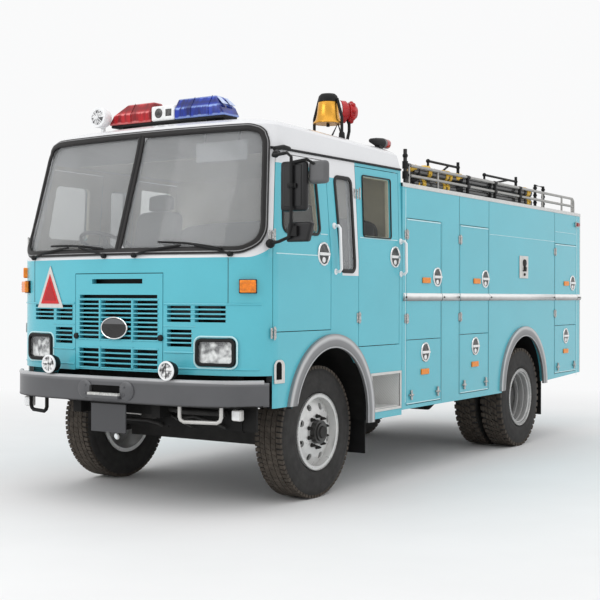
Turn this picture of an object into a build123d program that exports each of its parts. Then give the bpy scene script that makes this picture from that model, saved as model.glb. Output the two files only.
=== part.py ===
from build123d import *
import os
import math

os.makedirs("parts", exist_ok=True)

# ---------------------------------------------------------------- frame
# Lengths in mm. Shapes are drawn with s = 0 near the front axle and moved
# so that the origin is the bottom centre of the whole. The front faces -Y.
S_CENTRE = 2280.0          # s of the middle of the overall length

# ---------------------------------------------------------------- driving sizes
HW = 1226.0                # half width of cab and body
SKIN = 45.0                # thickness of cab walls and doors
WALL = 40.0                # thickness of body walls and locker doors
GAP = 6.0                  # gap round every door and flap

AXLE_F = 95.0              # s of the front axle
AXLE_R = 3975.0            # s of the rear axle
R_TYRE = 516.0
W_TYRE = 270.0
W_TYRE_REAR = 246.0
R_SEAT = 283.0             # tyre bead radius
X_FRONT_TYRE = 975.0       # centre of the front tyre
X_OUT_TYRE = 1074.0        # centres of the rear twin tyres
X_IN_TYRE = 780.0
X_KINGPIN = 870.0
R_PIN = 22.0
R_SPINDLE = 35.0
R_STUB = 46.0

Z_CAB_FRONT = 1000.0       # lower edge of the cab front
Z_CAB_SIDE = 765.0         # lower edge of the cab side ahead of the wheel
Z_SILL = 560.0             # lower edge of the crew side
Z_BELT = 1850.0
Z_GUTTER = 2655.0
Z_HEADER = 2836.0          # top of the windscreen surround
S_CAB_REAR = 1243.0

Z_BODY_TOP = 2544.0
S_BODY_F = 1249.0
S_BODY_R = 5700.0

ARCH_F = (95.0, 640.0)     # centre of the front arch (s, z)
ARCH_R = (3975.0, 630.0)
R_ARCH = 575.0             # opening in the sides
X_FLARE = 1250.0

# plan outlines of the cab, right half: (x, s) from the middle of the front
PLAN_BELT = [(0, -1008), (450, -985), (800, -935), (980, -895), (1095, -842),
             (1170, -782), (1212, -716), (1226, -650)]
PLAN_GUTTER = [(0, -748), (400, -735), (720, -707), (880, -684), (1000, -652),
               (1080, -614), (1125, -566), (1143, -505)]
PLAN_HEADER = [(0, -700), (390, -688), (700, -662), (860, -640), (975, -608),
               (1055, -569), (1100, -520), (1116, -460)]
X_GUTTER_REAR = 1208.0     # half width at the gutter, rear end of the cab
ROOF_FALL = 0.034          # slope of the cab roof towards the rear
# plan outline of the bumper's front, right half
PLAN_BUMPER = [(0, -1120), (500, -1110), (760, -1080), (920, -1035), (1050, -968), (1150, -880),
               (1203, -820), (1228, -765)]

# lockers: s front, s rear, z low, z split, z top
LOCKERS = [(1320, 1995, 632, 1195, 2250),
           (2400, 3056, 655, 1215, 2250),
           (4880, 5565, 712, 1250, 2172)]
X_LOCKER = 600.0           # inner wall of the lockers


# ---------------------------------------------------------------- helpers
def box(x0, x1, y0, y1, z0, z1):
    return Pos((x0 + x1) / 2, (y0 + y1) / 2, (z0 + z1) / 2) * Box(
        abs(x1 - x0), abs(y1 - y0), abs(z1 - z0))


def poly_x(pts, x0, x1, r=0):
    """prism along X over (s, z) points"""
    f = make_face(Polyline(*[(x0, a, b) for a, b in pts], close=True))
    if r:
        f = f.face().fillet_2d(r, f.vertices())
    return extrude(f, amount=x1 - x0, dir=(1, 0, 0))


def poly_y(pts, y0, y1, r=0):
    """prism along Y over (x, z) points"""
    f = make_face(Polyline(*[(a, y0, b) for a, b in pts], close=True))
    if r:
        f = f.face().fillet_2d(r, f.vertices())
    return extrude(f, amount=y1 - y0, dir=(0, 1, 0))


def rod(p, q, r):
    p, q = Vector(*p), Vector(*q)
    d = q - p
    return Plane(origin=p, z_dir=d) * Cylinder(
        r, d.length, align=(Align.CENTER, Align.CENTER, Align.MIN))


def chain(pts, r):
    out = None
    for a, b in zip(pts[:-1], pts[1:]):
        c = rod(a, b, r)
        out = c if out is None else out + c
    for p in pts[1:-1]:
        out = out + Pos(*p) * Sphere(r + 0.5)
    return out


def disc_x(x0, x1, s, z, r, r_in=0.0):
    c = Plane(origin=(x0, s, z), z_dir=(1, 0, 0)) * Cylinder(
        r, x1 - x0, align=(Align.CENTER, Align.CENTER, Align.MIN))
    if r_in:
        c = c - Plane(origin=(x0 - 1, s, z), z_dir=(1, 0, 0)) * Cylinder(
            r_in, x1 - x0 + 2, align=(Align.CENTER, Align.CENTER, Align.MIN))
    return c


def turn_x(pts, s, z):
    """body of revolution about the X line through (s, z); pts = (x, r)"""
    f = make_face(Polyline(*[(x, 0, r) for x, r in pts], close=True))
    return Pos(0, s, z) * revolve(f, Axis.X, 360)


def both(shape):
    return [shape, mirror(shape, Plane.YZ)]


def solids_of(item):
    out = []
    for it in (item if isinstance(item, (list, tuple)) else [item]):
        out += list(it.solids())
    return out


def save(name, item):
    sol = [Pos(0, -S_CENTRE, 0) * s for s in solids_of(item)]
    shape = sol[0] if len(sol) == 1 else Compound(children=sol)
    export_step(shape, f"parts/{name}.step")


# ---------------------------------------------------------------- cab outlines
def inset(pts, d):
    if d == 0:
        return pts
    n = len(pts)
    out = []
    for i, (x, y) in enumerate(pts):
        if i == 0:
            tx, ty = 1.0, 0.0
        elif i == n - 1:
            tx, ty = 0.0, 1.0
        else:
            tx = pts[i + 1][0] - pts[i - 1][0]
            ty = pts[i + 1][1] - pts[i - 1][1]
        m = math.hypot(tx, ty)
        out.append((x - ty / m * d, y + tx / m * d))
    return out


def plan(pts, x_rear, s_rear, z, d=0.0, fall=0.0):
    """outline at height z; with fall it drops that much per length towards the rear"""
    p = inset(pts, d)

    def up(y):
        return z - fall * (y + 600.0)

    front = [(-x, y, up(y)) for x, y in reversed(p[1:])] + [(x, y, up(y)) for x, y in p]
    xr, yr = x_rear - d, s_rear - d
    e = [Spline(*front),
         Line(front[-1], (xr, yr, up(yr))),
         Line((xr, yr, up(yr)), (-xr, yr, up(yr))),
         Line((-xr, yr, up(yr)), front[0])]
    return make_face(e)


def cab_low(d, z0=Z_SILL, z1=Z_BELT):
    return extrude(plan(PLAN_BELT, HW, S_CAB_REAR, z0, d), amount=z1 - z0, dir=(0, 0, 1))


def cab_mid(d):
    return loft([plan(PLAN_BELT, HW, S_CAB_REAR, Z_BELT, d),
                 plan(PLAN_GUTTER, X_GUTTER_REAR, S_CAB_REAR, Z_GUTTER, d)], ruled=True)


def cab_top(d, drop=0.0):
    a = plan(PLAN_GUTTER, X_GUTTER_REAR, S_CAB_REAR, Z_GUTTER, d)
    b = plan(PLAN_HEADER, X_GUTTER_REAR - 26, S_CAB_REAR - 18, Z_HEADER - drop, d, ROOF_FALL)
    lower = loft([a, b], ruled=True)
    def ring(kx, dy, x_in, s_in, z):
        return plan([(x * kx, y + dy) for x, y in PLAN_HEADER], X_GUTTER_REAR - x_in, S_CAB_REAR - s_in, z - drop, d, ROOF_FALL)

    c = ring(0.974, 34, 54, 44, 2864)
    e = ring(0.926, 92, 108, 96, 2889)
    g = ring(0.830, 200, 215, 190, 2917)
    h = ring(0.700, 340, 355, 330, 2935)
    upper = loft([b, c], ruled=True) + loft([c, e], ruled=True) + loft([e, g], ruled=True) + loft([g, h], ruled=True)
    return lower + upper


O_LOW, I_LOW = cab_low(0), cab_low(SKIN)
O_MID, I_MID = cab_mid(0), cab_mid(SKIN)
O_TOP, I_TOP = cab_top(0), cab_top(SKIN, SKIN)
SH_LOW, SH_MID, SH_TOP = O_LOW - I_LOW, O_MID - I_MID, O_TOP - I_TOP

BIG = 1700.0
S_DOOR_F = -710.0          # front edge of the front door, below the belt
S_DOOR_F_TOP = -556.0      # the same at the gutter
S_HEAD = S_DOOR_F_TOP + (Z_HEADER - Z_GUTTER) * (S_DOOR_F_TOP - S_DOOR_F) / (Z_GUTTER - Z_BELT)
S_DOOR_R = 80.0
Z_DOOR = 1310.0
S_CREW_F, S_CREW_R, Z_CREW = 501.0, 1196.0, 1164.0
Z_DOOR_TOP = 2622.0


def seam(z, off=0.0):
    t = max(0.0, (z - Z_BELT) / (Z_GUTTER - Z_BELT))
    return S_DOOR_F + t * (S_DOOR_F_TOP - S_DOOR_F) + off


# region in front of the front doors
FRONT = poly_x([(-1400, Z_CAB_FRONT), (S_DOOR_F, Z_CAB_FRONT), (S_DOOR_F, Z_BELT),
                (S_DOOR_F_TOP, Z_GUTTER), (S_HEAD, Z_HEADER), (-1400, Z_HEADER)], -BIG, BIG)

# ---------------------------------------------------------------- windows
SCREEN = [(20, 1912), (1150, 1912), (1052, 2796), (20, 2796)]
screen_cut = [poly_y(SCREEN, -1300, -480, 60)]
screen_cut += [mirror(screen_cut[0], Plane.YZ)]
DOOR_WIN = [(-560, 2045), (-66, 2045), (-84, 2502), (-500, 2502)]
CREW_WIN = [(598, 2062), (1046, 2062), (1052, 2548), (612, 2548)]
SLIM_WIN = [(232, 1775), (432, 1775), (424, 2500), (196, 2500)]


def win(pts, r, d=0.0):
    cx = sum(p[0] for p in pts) / 4
    cz = sum(p[1] for p in pts) / 4
    q = [(a + (d if a < cx else -d), b + (d if b < cz else -d)) for a, b in pts]
    return poly_x(q, 900, 1400, r)


def cab_screen(d):
    """cab between belt and windscreen header, set in by d"""
    return cab_mid(d) + loft(
        [plan(PLAN_GUTTER, X_GUTTER_REAR, S_CAB_REAR, Z_GUTTER, d),
         plan(PLAN_HEADER, X_GUTTER_REAR - 26, S_CAB_REAR - 18, Z_HEADER, d)], ruled=True)


def pane(cutter, outer, inner):
    return (outer & cutter) - inner


PANE_O, PANE_I = cab_mid(14), cab_mid(21)
LOW_O, LOW_I = cab_low(14, 1700, Z_BELT), cab_low(21, 1700, Z_BELT)

# ---------------------------------------------------------------- cab front
FLAP_HW, FLAP_Z0, FLAP_Z1 = 437.0, 1003.0, 1741.0
front_shell = (SH_LOW + SH_MID + SH_TOP) & FRONT
cab_front = front_shell - screen_cut[0] - screen_cut[1]
cab_front = cab_front - box(-FLAP_HW, FLAP_HW, -1200, -850, Z_CAB_FRONT - 10, FLAP_Z1)
slots = []
for sx in (-1, 1):
    for k in range(4):
        z = 1490 - 33 * k
        for a, b in ((470, 668), (700, 945)):
            slots.append(box(sx * a, sx * b, -1200, -800, z - 10, z + 10))
    for k in range(4):
        z = 1315 - 34 * k
        slots.append(box(sx * 470, sx * 675, -1200, -800, z - 11, z + 11))
    # recess for the head lamp
    slots.append(box(sx * 722, sx * 1012, -1200, -700, 1074, 1256))
for c in slots:
    cab_front = cab_front - c
save("cab_front", cab_front)

# grille flap, hung at its upper edge
flap = SH_LOW & box(-FLAP_HW + GAP, FLAP_HW - GAP, -1200, -850, FLAP_Z0 + GAP, FLAP_Z1 - GAP)
cuts = [box(-250, 250, -1200, -850, 1661, 1697), box(-385, 385, -1200, -850, 1552, 1578)]
for k in range(9):
    z = 1524 - 33.5 * k
    for a, b in ((-388, -172), (-150, 150), (172, 388)):
        cuts.append(box(a, b, -1200, -850, z - 10.5, z + 10.5))
for k in range(4):
    z = 1158 - 38 * k
    for a, b in ((-388, -172), (-150, 150), (172, 388)):
        cuts.append(box(a, b, -1200, -850, z - 12.5, z + 12.5))
for c in cuts:
    flap = flap - c
save("grille_flap", flap)

# ---------------------------------------------------------------- roof
ROOF_SIDE = poly_x([(S_DOOR_F_TOP, Z_GUTTER), (1400, Z_GUTTER), (1400, Z_HEADER), (S_HEAD, Z_HEADER)], -BIG, BIG)
ROOF_TOP = box(-BIG, BIG, -1400, 1400, Z_HEADER, 3100)
cab_roof = (SH_TOP & ROOF_SIDE) + (SH_TOP & ROOF_TOP)
save("cab_roof", cab_roof)

# ---------------------------------------------------------------- cab sides and doors
def front_door_area(d):
    return poly_x([(S_DOOR_F + d, Z_DOOR + d), (S_DOOR_R - d, Z_DOOR + d),
                   (S_DOOR_R - d, Z_DOOR_TOP - d), (seam(Z_DOOR_TOP, d), Z_DOOR_TOP - d),
                   (S_DOOR_F + d, Z_BELT)], 900, 1400)


def crew_door_area(d):
    return box(900, 1400, S_CREW_F + d, S_CREW_R - d, Z_CREW + d, Z_DOOR_TOP - d)


STEP = (722.0, 1205.0, 640.0, 918.0)      # s, s, z, z of the step pocket
side_area = poly_x([(S_DOOR_F, Z_CAB_SIDE), (-470, Z_CAB_SIDE), (-470, Z_SILL), (S_CAB_REAR, Z_SILL),
                    (S_CAB_REAR, Z_GUTTER), (S_DOOR_F_TOP, Z_GUTTER), (S_DOOR_F, Z_BELT)], 900, 1400)
arch_f = disc_x(500, 1400, ARCH_F[0], ARCH_F[1], R_ARCH) + box(
    500, 1400, ARCH_F[0] - R_ARCH, ARCH_F[0] + R_ARCH, 300, ARCH_F[1])
side = (SH_LOW + SH_MID) & side_area
side = side - box(900, HW - SKIN, S_CAB_REAR - SKIN - 30, S_CAB_REAR + 10, 400, 2800)
side = side - front_door_area(0) - crew_door_area(0) - arch_f - win(SLIM_WIN, 45)
side = side - box(900, 1400, STEP[0], STEP[1], STEP[2], STEP[3])
save("cab_sides", both(side))

door_f = ((SH_LOW + SH_MID) & front_door_area(GAP)) - win(DOOR_WIN, 55)
door_c = ((SH_LOW + SH_MID) & crew_door_area(GAP)) - win(CREW_WIN, 18)
glass_f = pane(win(DOOR_WIN, 55, 0.5), PANE_O, PANE_I)
glass_c = pane(win(CREW_WIN, 18, 0.5), PANE_O, PANE_I)
for nm, shp in (("front_door", door_f), ("crew_door", door_c),
                ("front_door_glass", glass_f), ("crew_door_glass", glass_c)):
    a, b = both(shp)
    save(nm + "_left", a)
    save(nm + "_right", b)

SCREEN_G = [(21, 1913), (1149, 1913), (1051, 2795), (21, 2795)]
pane_l = pane(poly_y(SCREEN_G, -1300, -480, 60), cab_screen(14), cab_screen(21))
slim_l = pane(win(SLIM_WIN, 45, 1.0), PANE_O + LOW_O, PANE_I + LOW_I)
pane_l = pane_l - cab_roof - cab_front - side
slim_l = slim_l - side
save("cab_glass", both(pane_l) + both(slim_l))

rear_wall = (cab_low(SKIN, 1105, Z_BELT) + I_MID) & box(-BIG, BIG, S_CAB_REAR - 2 * SKIN, S_CAB_REAR, 1105, Z_GUTTER)
save("cab_rear_wall", rear_wall)

# ---------------------------------------------------------------- cab floor
FLOOR_F, FLOOR_C = 1290.0, 1145.0
inner = cab_low(SKIN + 2, 1000, 1800)
floor = (inner & box(-BIG, BIG, -1400, 520, FLOOR_F - 38, FLOOR_F)) + \
        (inner & box(-BIG, BIG, 480, 520, FLOOR_C - 38, FLOOR_F)) + \
        (inner & box(-BIG, BIG, 480, S_CAB_REAR - 2 * SKIN, FLOOR_C - 38, FLOOR_C))
hump_o = box(-360, 360, -700, 480, FLOOR_F - 38, 1560)
hump_i = box(-332, 332, -672, 452, 1000, 1532)
floor = floor + hump_o - hump_i
floor = (floor & inner) - SH_LOW - side - mirror(side, Plane.YZ)
save("cab_floor", floor)

# step pockets of tread plate
well = box(940, HW - SKIN, STEP[0] - 12, STEP[1] + 12, STEP[2] - 12, STEP[3] + 12) - box(
    952, 1300, STEP[0], STEP[1], STEP[2], STEP[3])
save("step_wells", both(well))

# ---------------------------------------------------------------- cab inside
dash = poly_x([(-960, 1420), (-700, 1420), (-640, 1620), (-660, 1800), (-760, 1858), (-960, 1858)], -1300, 1300)
DASH_PLAN = [(-1095, -700), (-1000, -790), (-800, -862), (-420, -920), (420, -920), (800, -862), (1000, -790),
             (1095, -700), (1095, -600), (-1095, -600)]
dash = dash & extrude(make_face(Polyline(*[(x, y, 1300) for x, y in DASH_PLAN], close=True)),
                      amount=700, dir=(0, 0, 1))
dash = dash - box(-362, 362, -702, 480, 1200, 1562)
WHEEL_C = Vector(-620, -420, 1985)
COLUMN = Vector(0, 0.42, 0.9).normalized()
column = rod(tuple(WHEEL_C - COLUMN * 430), tuple(WHEEL_C - COLUMN * 34), 28)
dash = dash + column
save("dashboard", dash)

wheel_plane = Plane(origin=tuple(WHEEL_C), z_dir=tuple(COLUMN))
steer = wheel_plane * Torus(225, 15)
steer = steer + wheel_plane * (Pos(0, 0, -18) * Cylinder(48, 26))
for a in (90, 210, 330):
    steer = steer + wheel_plane * (Rot(0, 0, a) * (Pos(120, 0, -10) * Box(216, 34, 14)))
save("steering_wheel", steer)

seats = []
for sx in (-1, 1):
    x0, x1 = 470 * sx, 930 * sx
    st = box(x0 + 40 * sx, x1 - 40 * sx, -250, 200, FLOOR_F, 1680) + box(x0, x1, -300, 230, 1680, 1800)
    st = st + poly_x([(200, 1680), (330, 1680), (410, 2300), (300, 2300)], min(x0, x1), max(x0, x1))
    st = st + poly_x([(322, 2300), (400, 2300), (415, 2440), (335, 2440)],
                     min(x0 + 110 * sx, x1 - 110 * sx), max(x0 + 110 * sx, x1 - 110 * sx))
    seats.append(st)
bench = box(-1040, 1040, 760, 1140, FLOOR_C, 1500) + box(-1060, 1060, 700, 1140, 1500, 1620)
bench = bench + poly_x([(1000, 1620), (1120, 1620), (1148, 2240), (1060, 2240)], -1060, 1060)
seats.append(bench)
save("cab_seats", seats)

# ---------------------------------------------------------------- body
def bottom_edge(s):
    if s < 4500:
        return 600.0
    return 648.0 + (s - 4500) / 1200.0 * 42.0


body_profile = [(S_BODY_F, 600), (3420, 600), (3420, 640), (4530, 649), (4576, bottom_edge(4576)),
                (S_BODY_R, bottom_edge(S_BODY_R)), (S_BODY_R, Z_BODY_TOP), (S_BODY_F, Z_BODY_TOP)]
arch_r = disc_x(500, 1400, ARCH_R[0], ARCH_R[1], R_ARCH) + box(
    500, 1400, ARCH_R[0] - R_ARCH, ARCH_R[0] + R_ARCH, 300, ARCH_R[1])
body_side = poly_x(body_profile, HW - WALL, HW) - arch_r
for s0, s1, z0, zm, z1 in LOCKERS:
    body_side = body_side - box(1100, 1400, s0, s1, z0, z1)
save("body_sides", both(body_side))

save("body_deck", box(-HW + WALL, HW - WALL, S_BODY_F, S_BODY_R, Z_BODY_TOP - 44, Z_BODY_TOP - 4))

front_wall = box(-HW + WALL, HW - WALL, S_BODY_F, S_BODY_F + 40, 930, Z_BODY_TOP - 44)
back = box(-HW + WALL, HW - WALL, S_BODY_R - 40, S_BODY_R, 690, Z_BODY_TOP - 44)
save("body_ends", [front_wall, back])

lockers = []
for s0, s1, z0, zm, z1 in LOCKERS:
    zt = Z_BODY_TOP - 44
    o = box(X_LOCKER, HW - WALL, s0 - 28, s1 + 28, z0 - 28, zt)
    i = box(X_LOCKER + 24, HW, s0 - 4, s1 + 4, z0 - 4, zt - 24)
    shelf = box(X_LOCKER, 1140, s0 - 10, s1 + 10, zm - 12, zm + 12)
    lockers += both(o - i + shelf)
save("locker_boxes", lockers)

for n, (s0, s1, z0, zm, z1) in enumerate(LOCKERS, 1):
    up = box(HW - WALL, HW, s0 + GAP, s1 - GAP, zm + GAP / 2, z1 - GAP)
    lo = box(HW - WALL, HW, s0 + GAP, s1 - GAP, z0 + GAP, zm - GAP / 2)
    for nm, shp in (("locker_door", up), ("locker_flap", lo)):
        a, b = both(shp)
        save(f"{nm}_left_{n}", a)
        save(f"{nm}_right_{n}", b)

# ---------------------------------------------------------------- arches, housings, mud flaps
def flare(centre, r_in, r_out, z_front, z_rear):
    s, z = centre
    ring = disc_x(HW, X_FLARE, s, z, r_out, r_in) & box(0, 1400, s - 900, s + 900, z, z + 900)
    legs = box(HW, X_FLARE, s + r_in, s + r_out, z_rear, z)
    if z_front < z:
        legs = legs + box(HW, X_FLARE, s - r_out, s - r_in, z_front, z)
    out = ring + legs
    if z_front > z:
        out = out - box(0, 1400, s - 900, s, 0, z_front)
    return out


def housing(centre, x0, x1, z_front, z_rear):
    s, z = centre
    ring = disc_x(x0, x1, s, z, R_ARCH + 8, R_ARCH) & box(0, 1400, s - 900, s + 900, z, z + 900)
    out = ring + box(x0, x1, s + R_ARCH, s + R_ARCH + 8, z_rear, z)
    if z_front < z:
        out = out + box(x0, x1, s - R_ARCH - 8, s - R_ARCH, z_front, z)
    else:
        out = out - box(0, 1400, s - 900, s, 0, z_front)
    return out


flare_f = flare(ARCH_F, 535, 640, Z_CAB_SIDE, 545)
flare_r = flare(ARCH_R, 530, 630, 620, 645)
house_f = housing(ARCH_F, 600, HW - SKIN, 780, 560)
house_r = housing(ARCH_R, 600, HW - WALL, 640, 655)
save("arch_flares", both(flare_f) + both(flare_r))
save("wheel_housings", both(house_f) + both(house_r))
save("mud_flaps", both(box(850, 1175, 700, 708, 285, 600)) + both(box(640, 1180, 4590, 4598, 280, 660)))

# ---------------------------------------------------------------- chassis
rails = box(350, 430, -1013, 5600, 680, 900) + box(-430, -350, -1013, 5600, 680, 900)
for s in (-900, -250, 400, 1050, 1700, 2350, 3000, 3640, 4300, 4950, 5560):
    rails = rails + box(-360, 360, s - 30, s + 30, 690, 750)
jaw = box(-70, 70, 5530, 5720, 600, 660) + box(-70, 70, 5530, 5590, 600, 700)
jaw = jaw - Pos(0, 5680, 630) * Cylinder(20, 100)
rails = rails + jaw
save("chassis_frame", rails)

beam = box(-765, 765, AXLE_F - 45, AXLE_F + 45, 380, 485)
for sx in (-1, 1):
    beam = beam + box(sx * 730, sx * X_KINGPIN, AXLE_F - 40, AXLE_F + 40, 460, 570)
    beam = beam + Pos(sx * X_KINGPIN, AXLE_F, 516) * Cylinder(45, 120)
    beam = beam + box(sx * 350, sx * 430, AXLE_F - 60, AXLE_F + 60, 470, 556)
for sx in (-1, 1):
    beam = beam - Pos(sx * X_KINGPIN, AXLE_F, 516) * Cylinder(R_PIN + 0.3, 200)
save("front_axle", beam)

axle = turn_x([(-1000, 0), (-1000, R_STUB), (-640, R_STUB), (-640, 75), (-240, 75), (-110, 195), (110, 195),
               (240, 75), (640, 75), (640, R_STUB), (1000, R_STUB), (1000, 0)], AXLE_R, R_TYRE)
for sx in (-1, 1):
    axle = axle + box(sx * 350, sx * 430, AXLE_R - 60, AXLE_R + 60, 516, 598)
save("rear_axle", axle)


def spring(s, z_mid, rise, half):
    t = 28.0
    a = [(s - half, z_mid + rise), (s, z_mid), (s + half, z_mid + rise)]
    up = ThreePointArc(*[(352, y, z + t) for y, z in a])
    dn = ThreePointArc(*[(352, y, z - t) for y, z in a])
    f = make_face([up, dn, Line((352, a[0][0], a[0][1] - t), (352, a[0][0], a[0][1] + t)),
                   Line((352, a[2][0], a[2][1] - t), (352, a[2][0], a[2][1] + t))])
    return extrude(f, amount=76, dir=(1, 0, 0))


springs = both(spring(AXLE_F, 556 + 28.5, 62, 640)) + both(spring(AXLE_R, 598 + 28.5, 22, 720))
save("leaf_springs", springs)

engine = box(-300, 300, -640, 350, 760, 1495) + box(-175, 175, 350, 990, 765, 1060) + box(-105, 105, 930, 990, 590, 800)
prop = rod((0, 992, 640), (0, AXLE_R - 210, 560), 42)
save("driveline", [engine, prop])

# ---------------------------------------------------------------- wheels and steering
def tyre(xc, s, width):
    w = width / 2
    pts = [(-w + 31, R_SEAT), (-w + 22.5, R_SEAT + 18), (-w + 14, R_SEAT + 22), (-w + 4, R_SEAT + 50), (-w, R_SEAT + 100), (-w + 3, R_SEAT + 150),
           (-w + 14, R_TYRE - 34), (-w + 30, R_TYRE - 8), (-w + 52, R_TYRE),
           (w - 52, R_TYRE), (w - 30, R_TYRE - 8), (w - 14, R_TYRE - 34), (w - 3, R_SEAT + 150),
           (w, R_SEAT + 100), (w - 4, R_SEAT + 50), (w - 14, R_SEAT + 22), (w - 22.5, R_SEAT + 18), (w - 31, R_SEAT)]
    return turn_x([(xc + a, r) for a, r in pts], s, R_TYRE)


def front_wheel(s):
    x0, x1 = X_FRONT_TYRE - 128, X_FRONT_TYRE + 128
    barrel = turn_x([(x0, 268), (x1, 268), (x1, 300), (x1 - 12, 300), (x1 - 22, R_SEAT - 0.3),
                     (x0 + 22, R_SEAT - 0.3), (x0 + 12, 300), (x0, 300)], s, R_TYRE)
    disc = turn_x([(1040, 268), (1072, 200), (1086, 130), (1086, R_SPINDLE + 0.3), (1066, R_SPINDLE + 0.3),
                   (1066, 130), (1054, 192), (1022, 262), (1022, 270), (1040, 270)], s, R_TYRE)
    hub = disc_x(985, 1128, s, R_TYRE, 92, R_SPINDLE + 0.3) + disc_x(1126, 1140, s, R_TYRE, 70)
    out = barrel + disc + hub
    for k in range(8):
        a = 2 * math.pi * (k + 0.5) / 8
        out = out - disc_x(1000, 1120, s + 206 * math.cos(a), R_TYRE + 206 * math.sin(a), 27)
    return out


def rear_wheel(s):
    h = W_TYRE_REAR / 2 - 7
    xs = [X_IN_TYRE - h, X_IN_TYRE + h, X_OUT_TYRE - h, X_OUT_TYRE + h]
    rs = R_SEAT - 0.3
    pts = [(xs[0], 268), (xs[3], 268), (xs[3], 300), (xs[3] - 12, 300), (xs[3] - 22, rs),
           (xs[2] + 22, rs), (xs[2] + 12, 300), (xs[2], 300), (xs[2], rs), (xs[1], rs), (xs[1], 300),
           (xs[1] - 12, 300), (xs[1] - 22, rs), (xs[0] + 22, rs), (xs[0] + 12, 300), (xs[0], 300)]
    barrel = turn_x(pts, s, R_TYRE)
    disc = turn_x([(925, 270), (985, 240), (1000, 130), (1000, R_STUB + 0.3), (975, R_STUB + 0.3),
                   (975, 130), (962, 232), (900, 262), (900, 270)], s, R_TYRE)
    hub = disc_x(800, 1060, s, R_TYRE, 105, R_STUB + 0.3) + disc_x(1050, 1075, s, R_TYRE, 100)
    out = barrel + disc + hub
    for k in range(8):
        a = 2 * math.pi * (k + 0.5) / 8
        out = out - disc_x(940, 1010, s + 196 * math.cos(a), R_TYRE + 196 * math.sin(a), 24)
    return out


for nm, shp in (("tyre_front", tyre(X_FRONT_TYRE, AXLE_F, W_TYRE)), ("wheel_front", front_wheel(AXLE_F)),
                ("wheel_rear", rear_wheel(AXLE_R))):
    a, b = both(shp)
    save(nm + "_left", a)
    save(nm + "_right", b)
twin = [tyre(X_OUT_TYRE, AXLE_R, W_TYRE_REAR), tyre(X_IN_TYRE, AXLE_R, W_TYRE_REAR)]
save("tyres_rear_left", twin)
save("tyres_rear_right", [mirror(t, Plane.YZ) for t in twin])

knuckle = box(X_KINGPIN - 38, 958, AXLE_F - 42, AXLE_F + 42, 582, 622)
knuckle = knuckle + box(X_KINGPIN - 38, 958, AXLE_F - 42, AXLE_F + 42, 410, 450)
knuckle = knuckle + box(922, 958, AXLE_F - 60, AXLE_F + 60, 410, 622)
knuckle = knuckle + disc_x(950, 1120, AXLE_F, R_TYRE, R_SPINDLE)
knuckle = knuckle + Pos(X_KINGPIN, AXLE_F, 516) * Cylinder(R_PIN, 200)
a, b = both(knuckle)
save("knuckle_left", a)
save("knuckle_right", b)

# ---------------------------------------------------------------- bumper and front plate
def bumper_face(z):
    def row(pts):
        return [(-x, y, z) for x, y in reversed(pts[1:])] + [(x, y, z) for x, y in pts]

    out, inn = row(PLAN_BUMPER), row(inset(PLAN_BUMPER, 95))
    e = [Spline(*out), Line(out[-1], inn[-1]), Spline(*reversed(inn)), Line(inn[0], out[0])]
    return make_face(e)


bumper = extrude(bumper_face(783), amount=170, dir=(0, 0, 1))
# one thick tongue with an upright bore for the tow pin
tow = box(-150, 150, -1160, -1114, 812, 852) - Pos(0, -1139, 832) * Cylinder(12, 80)
plate = box(-170, 170, -1093, -1083, 556, 773) + box(-60, 60, -1090, -1083, 765, 790)
save("front_bumper", bumper + tow + plate)

# ---------------------------------------------------------------- lamps
lamps = []
for sx in (-1, 1):
    hl = box(sx * 728, sx * 1006, -938, -800, 1080, 1250)
    lamps.append((hl & cab_low(4, 1000, 1400)) - cab_low(42, 1000, 1400))
    lamps.append(Plane(origin=(sx * 580, -1128, 1034), z_dir=(0, 1, 0)) * Cylinder(
        70, 86, align=(Align.CENTER, Align.CENTER, Align.MIN)) + box(sx * 555, sx * 605, -1085, -1050, 953, 1034))
save("lamps", lamps)

# ---------------------------------------------------------------- roof equipment
bar = box(-578, 588, -450, -250, 2956, 3122)
feet = [box(sx * 380, sx * 470, -400, -300, 2850, 2956) for sx in (-1, 1)]
bar = bar + (feet[0] - O_TOP) + (feet[1] - O_TOP)
save("light_bar", bar)

fit = []
bell = Pos(800, 720, 0) * (revolve(make_face(Polyline((0, 0, 3200), (62, 0, 3190), (78, 0, 3130), (96, 0, 3060),
                                                      (118, 0, 3020), (0, 0, 3020), close=True)), Axis.Z, 360))
bell = bell + Pos(800, 720, 3235) * Cylinder(50, 70)
bell = bell + box(680, 920, 700, 740, 3195, 3210) + box(680, 692, 700, 740, 2840, 3210) + box(908, 920, 700, 740, 2840, 3210)
fit.append(bell - O_TOP)
siren = Plane(origin=(745, 1075, 3165), z_dir=(0, 1, 0)) * Cylinder(95, 150)
siren = siren + (box(715, 775, 1050, 1100, 2840, 3150))
fit.append(siren - O_TOP)
spot = Plane(origin=(-606, -514, 3016), z_dir=(0, 1, 0)) * Cylinder(82, 110) + box(-626, -586, -500, -480, 2800, 3016)
fit.append(spot - O_TOP)
beacon = Plane(origin=(1085, 1085, 2880), z_dir=(0, 1, 0)) * Cylinder(42, 320) + box(1060, 1110, 1050, 1110, 2700, 2860)
fit.append(beacon - O_TOP)
save("roof_fittings", fit)

XR = 1165.0
rails_l = rod((XR, 1466, 2632), (XR, 5593, 2632), 14) + rod((XR, 1466, 2720), (XR, 5593, 2720), 14)
for s in (1480, 2050, 2700, 3350, 4000, 4650, 5250, 5580):
    rails_l = rails_l + rod((XR, s, 2540), (XR, s, 2716), 11)
post = rod((1150, 1438, 2540), (1150, 1438, 2858), 17)
save("roof_rails", both(rails_l) + both(post))

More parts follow.
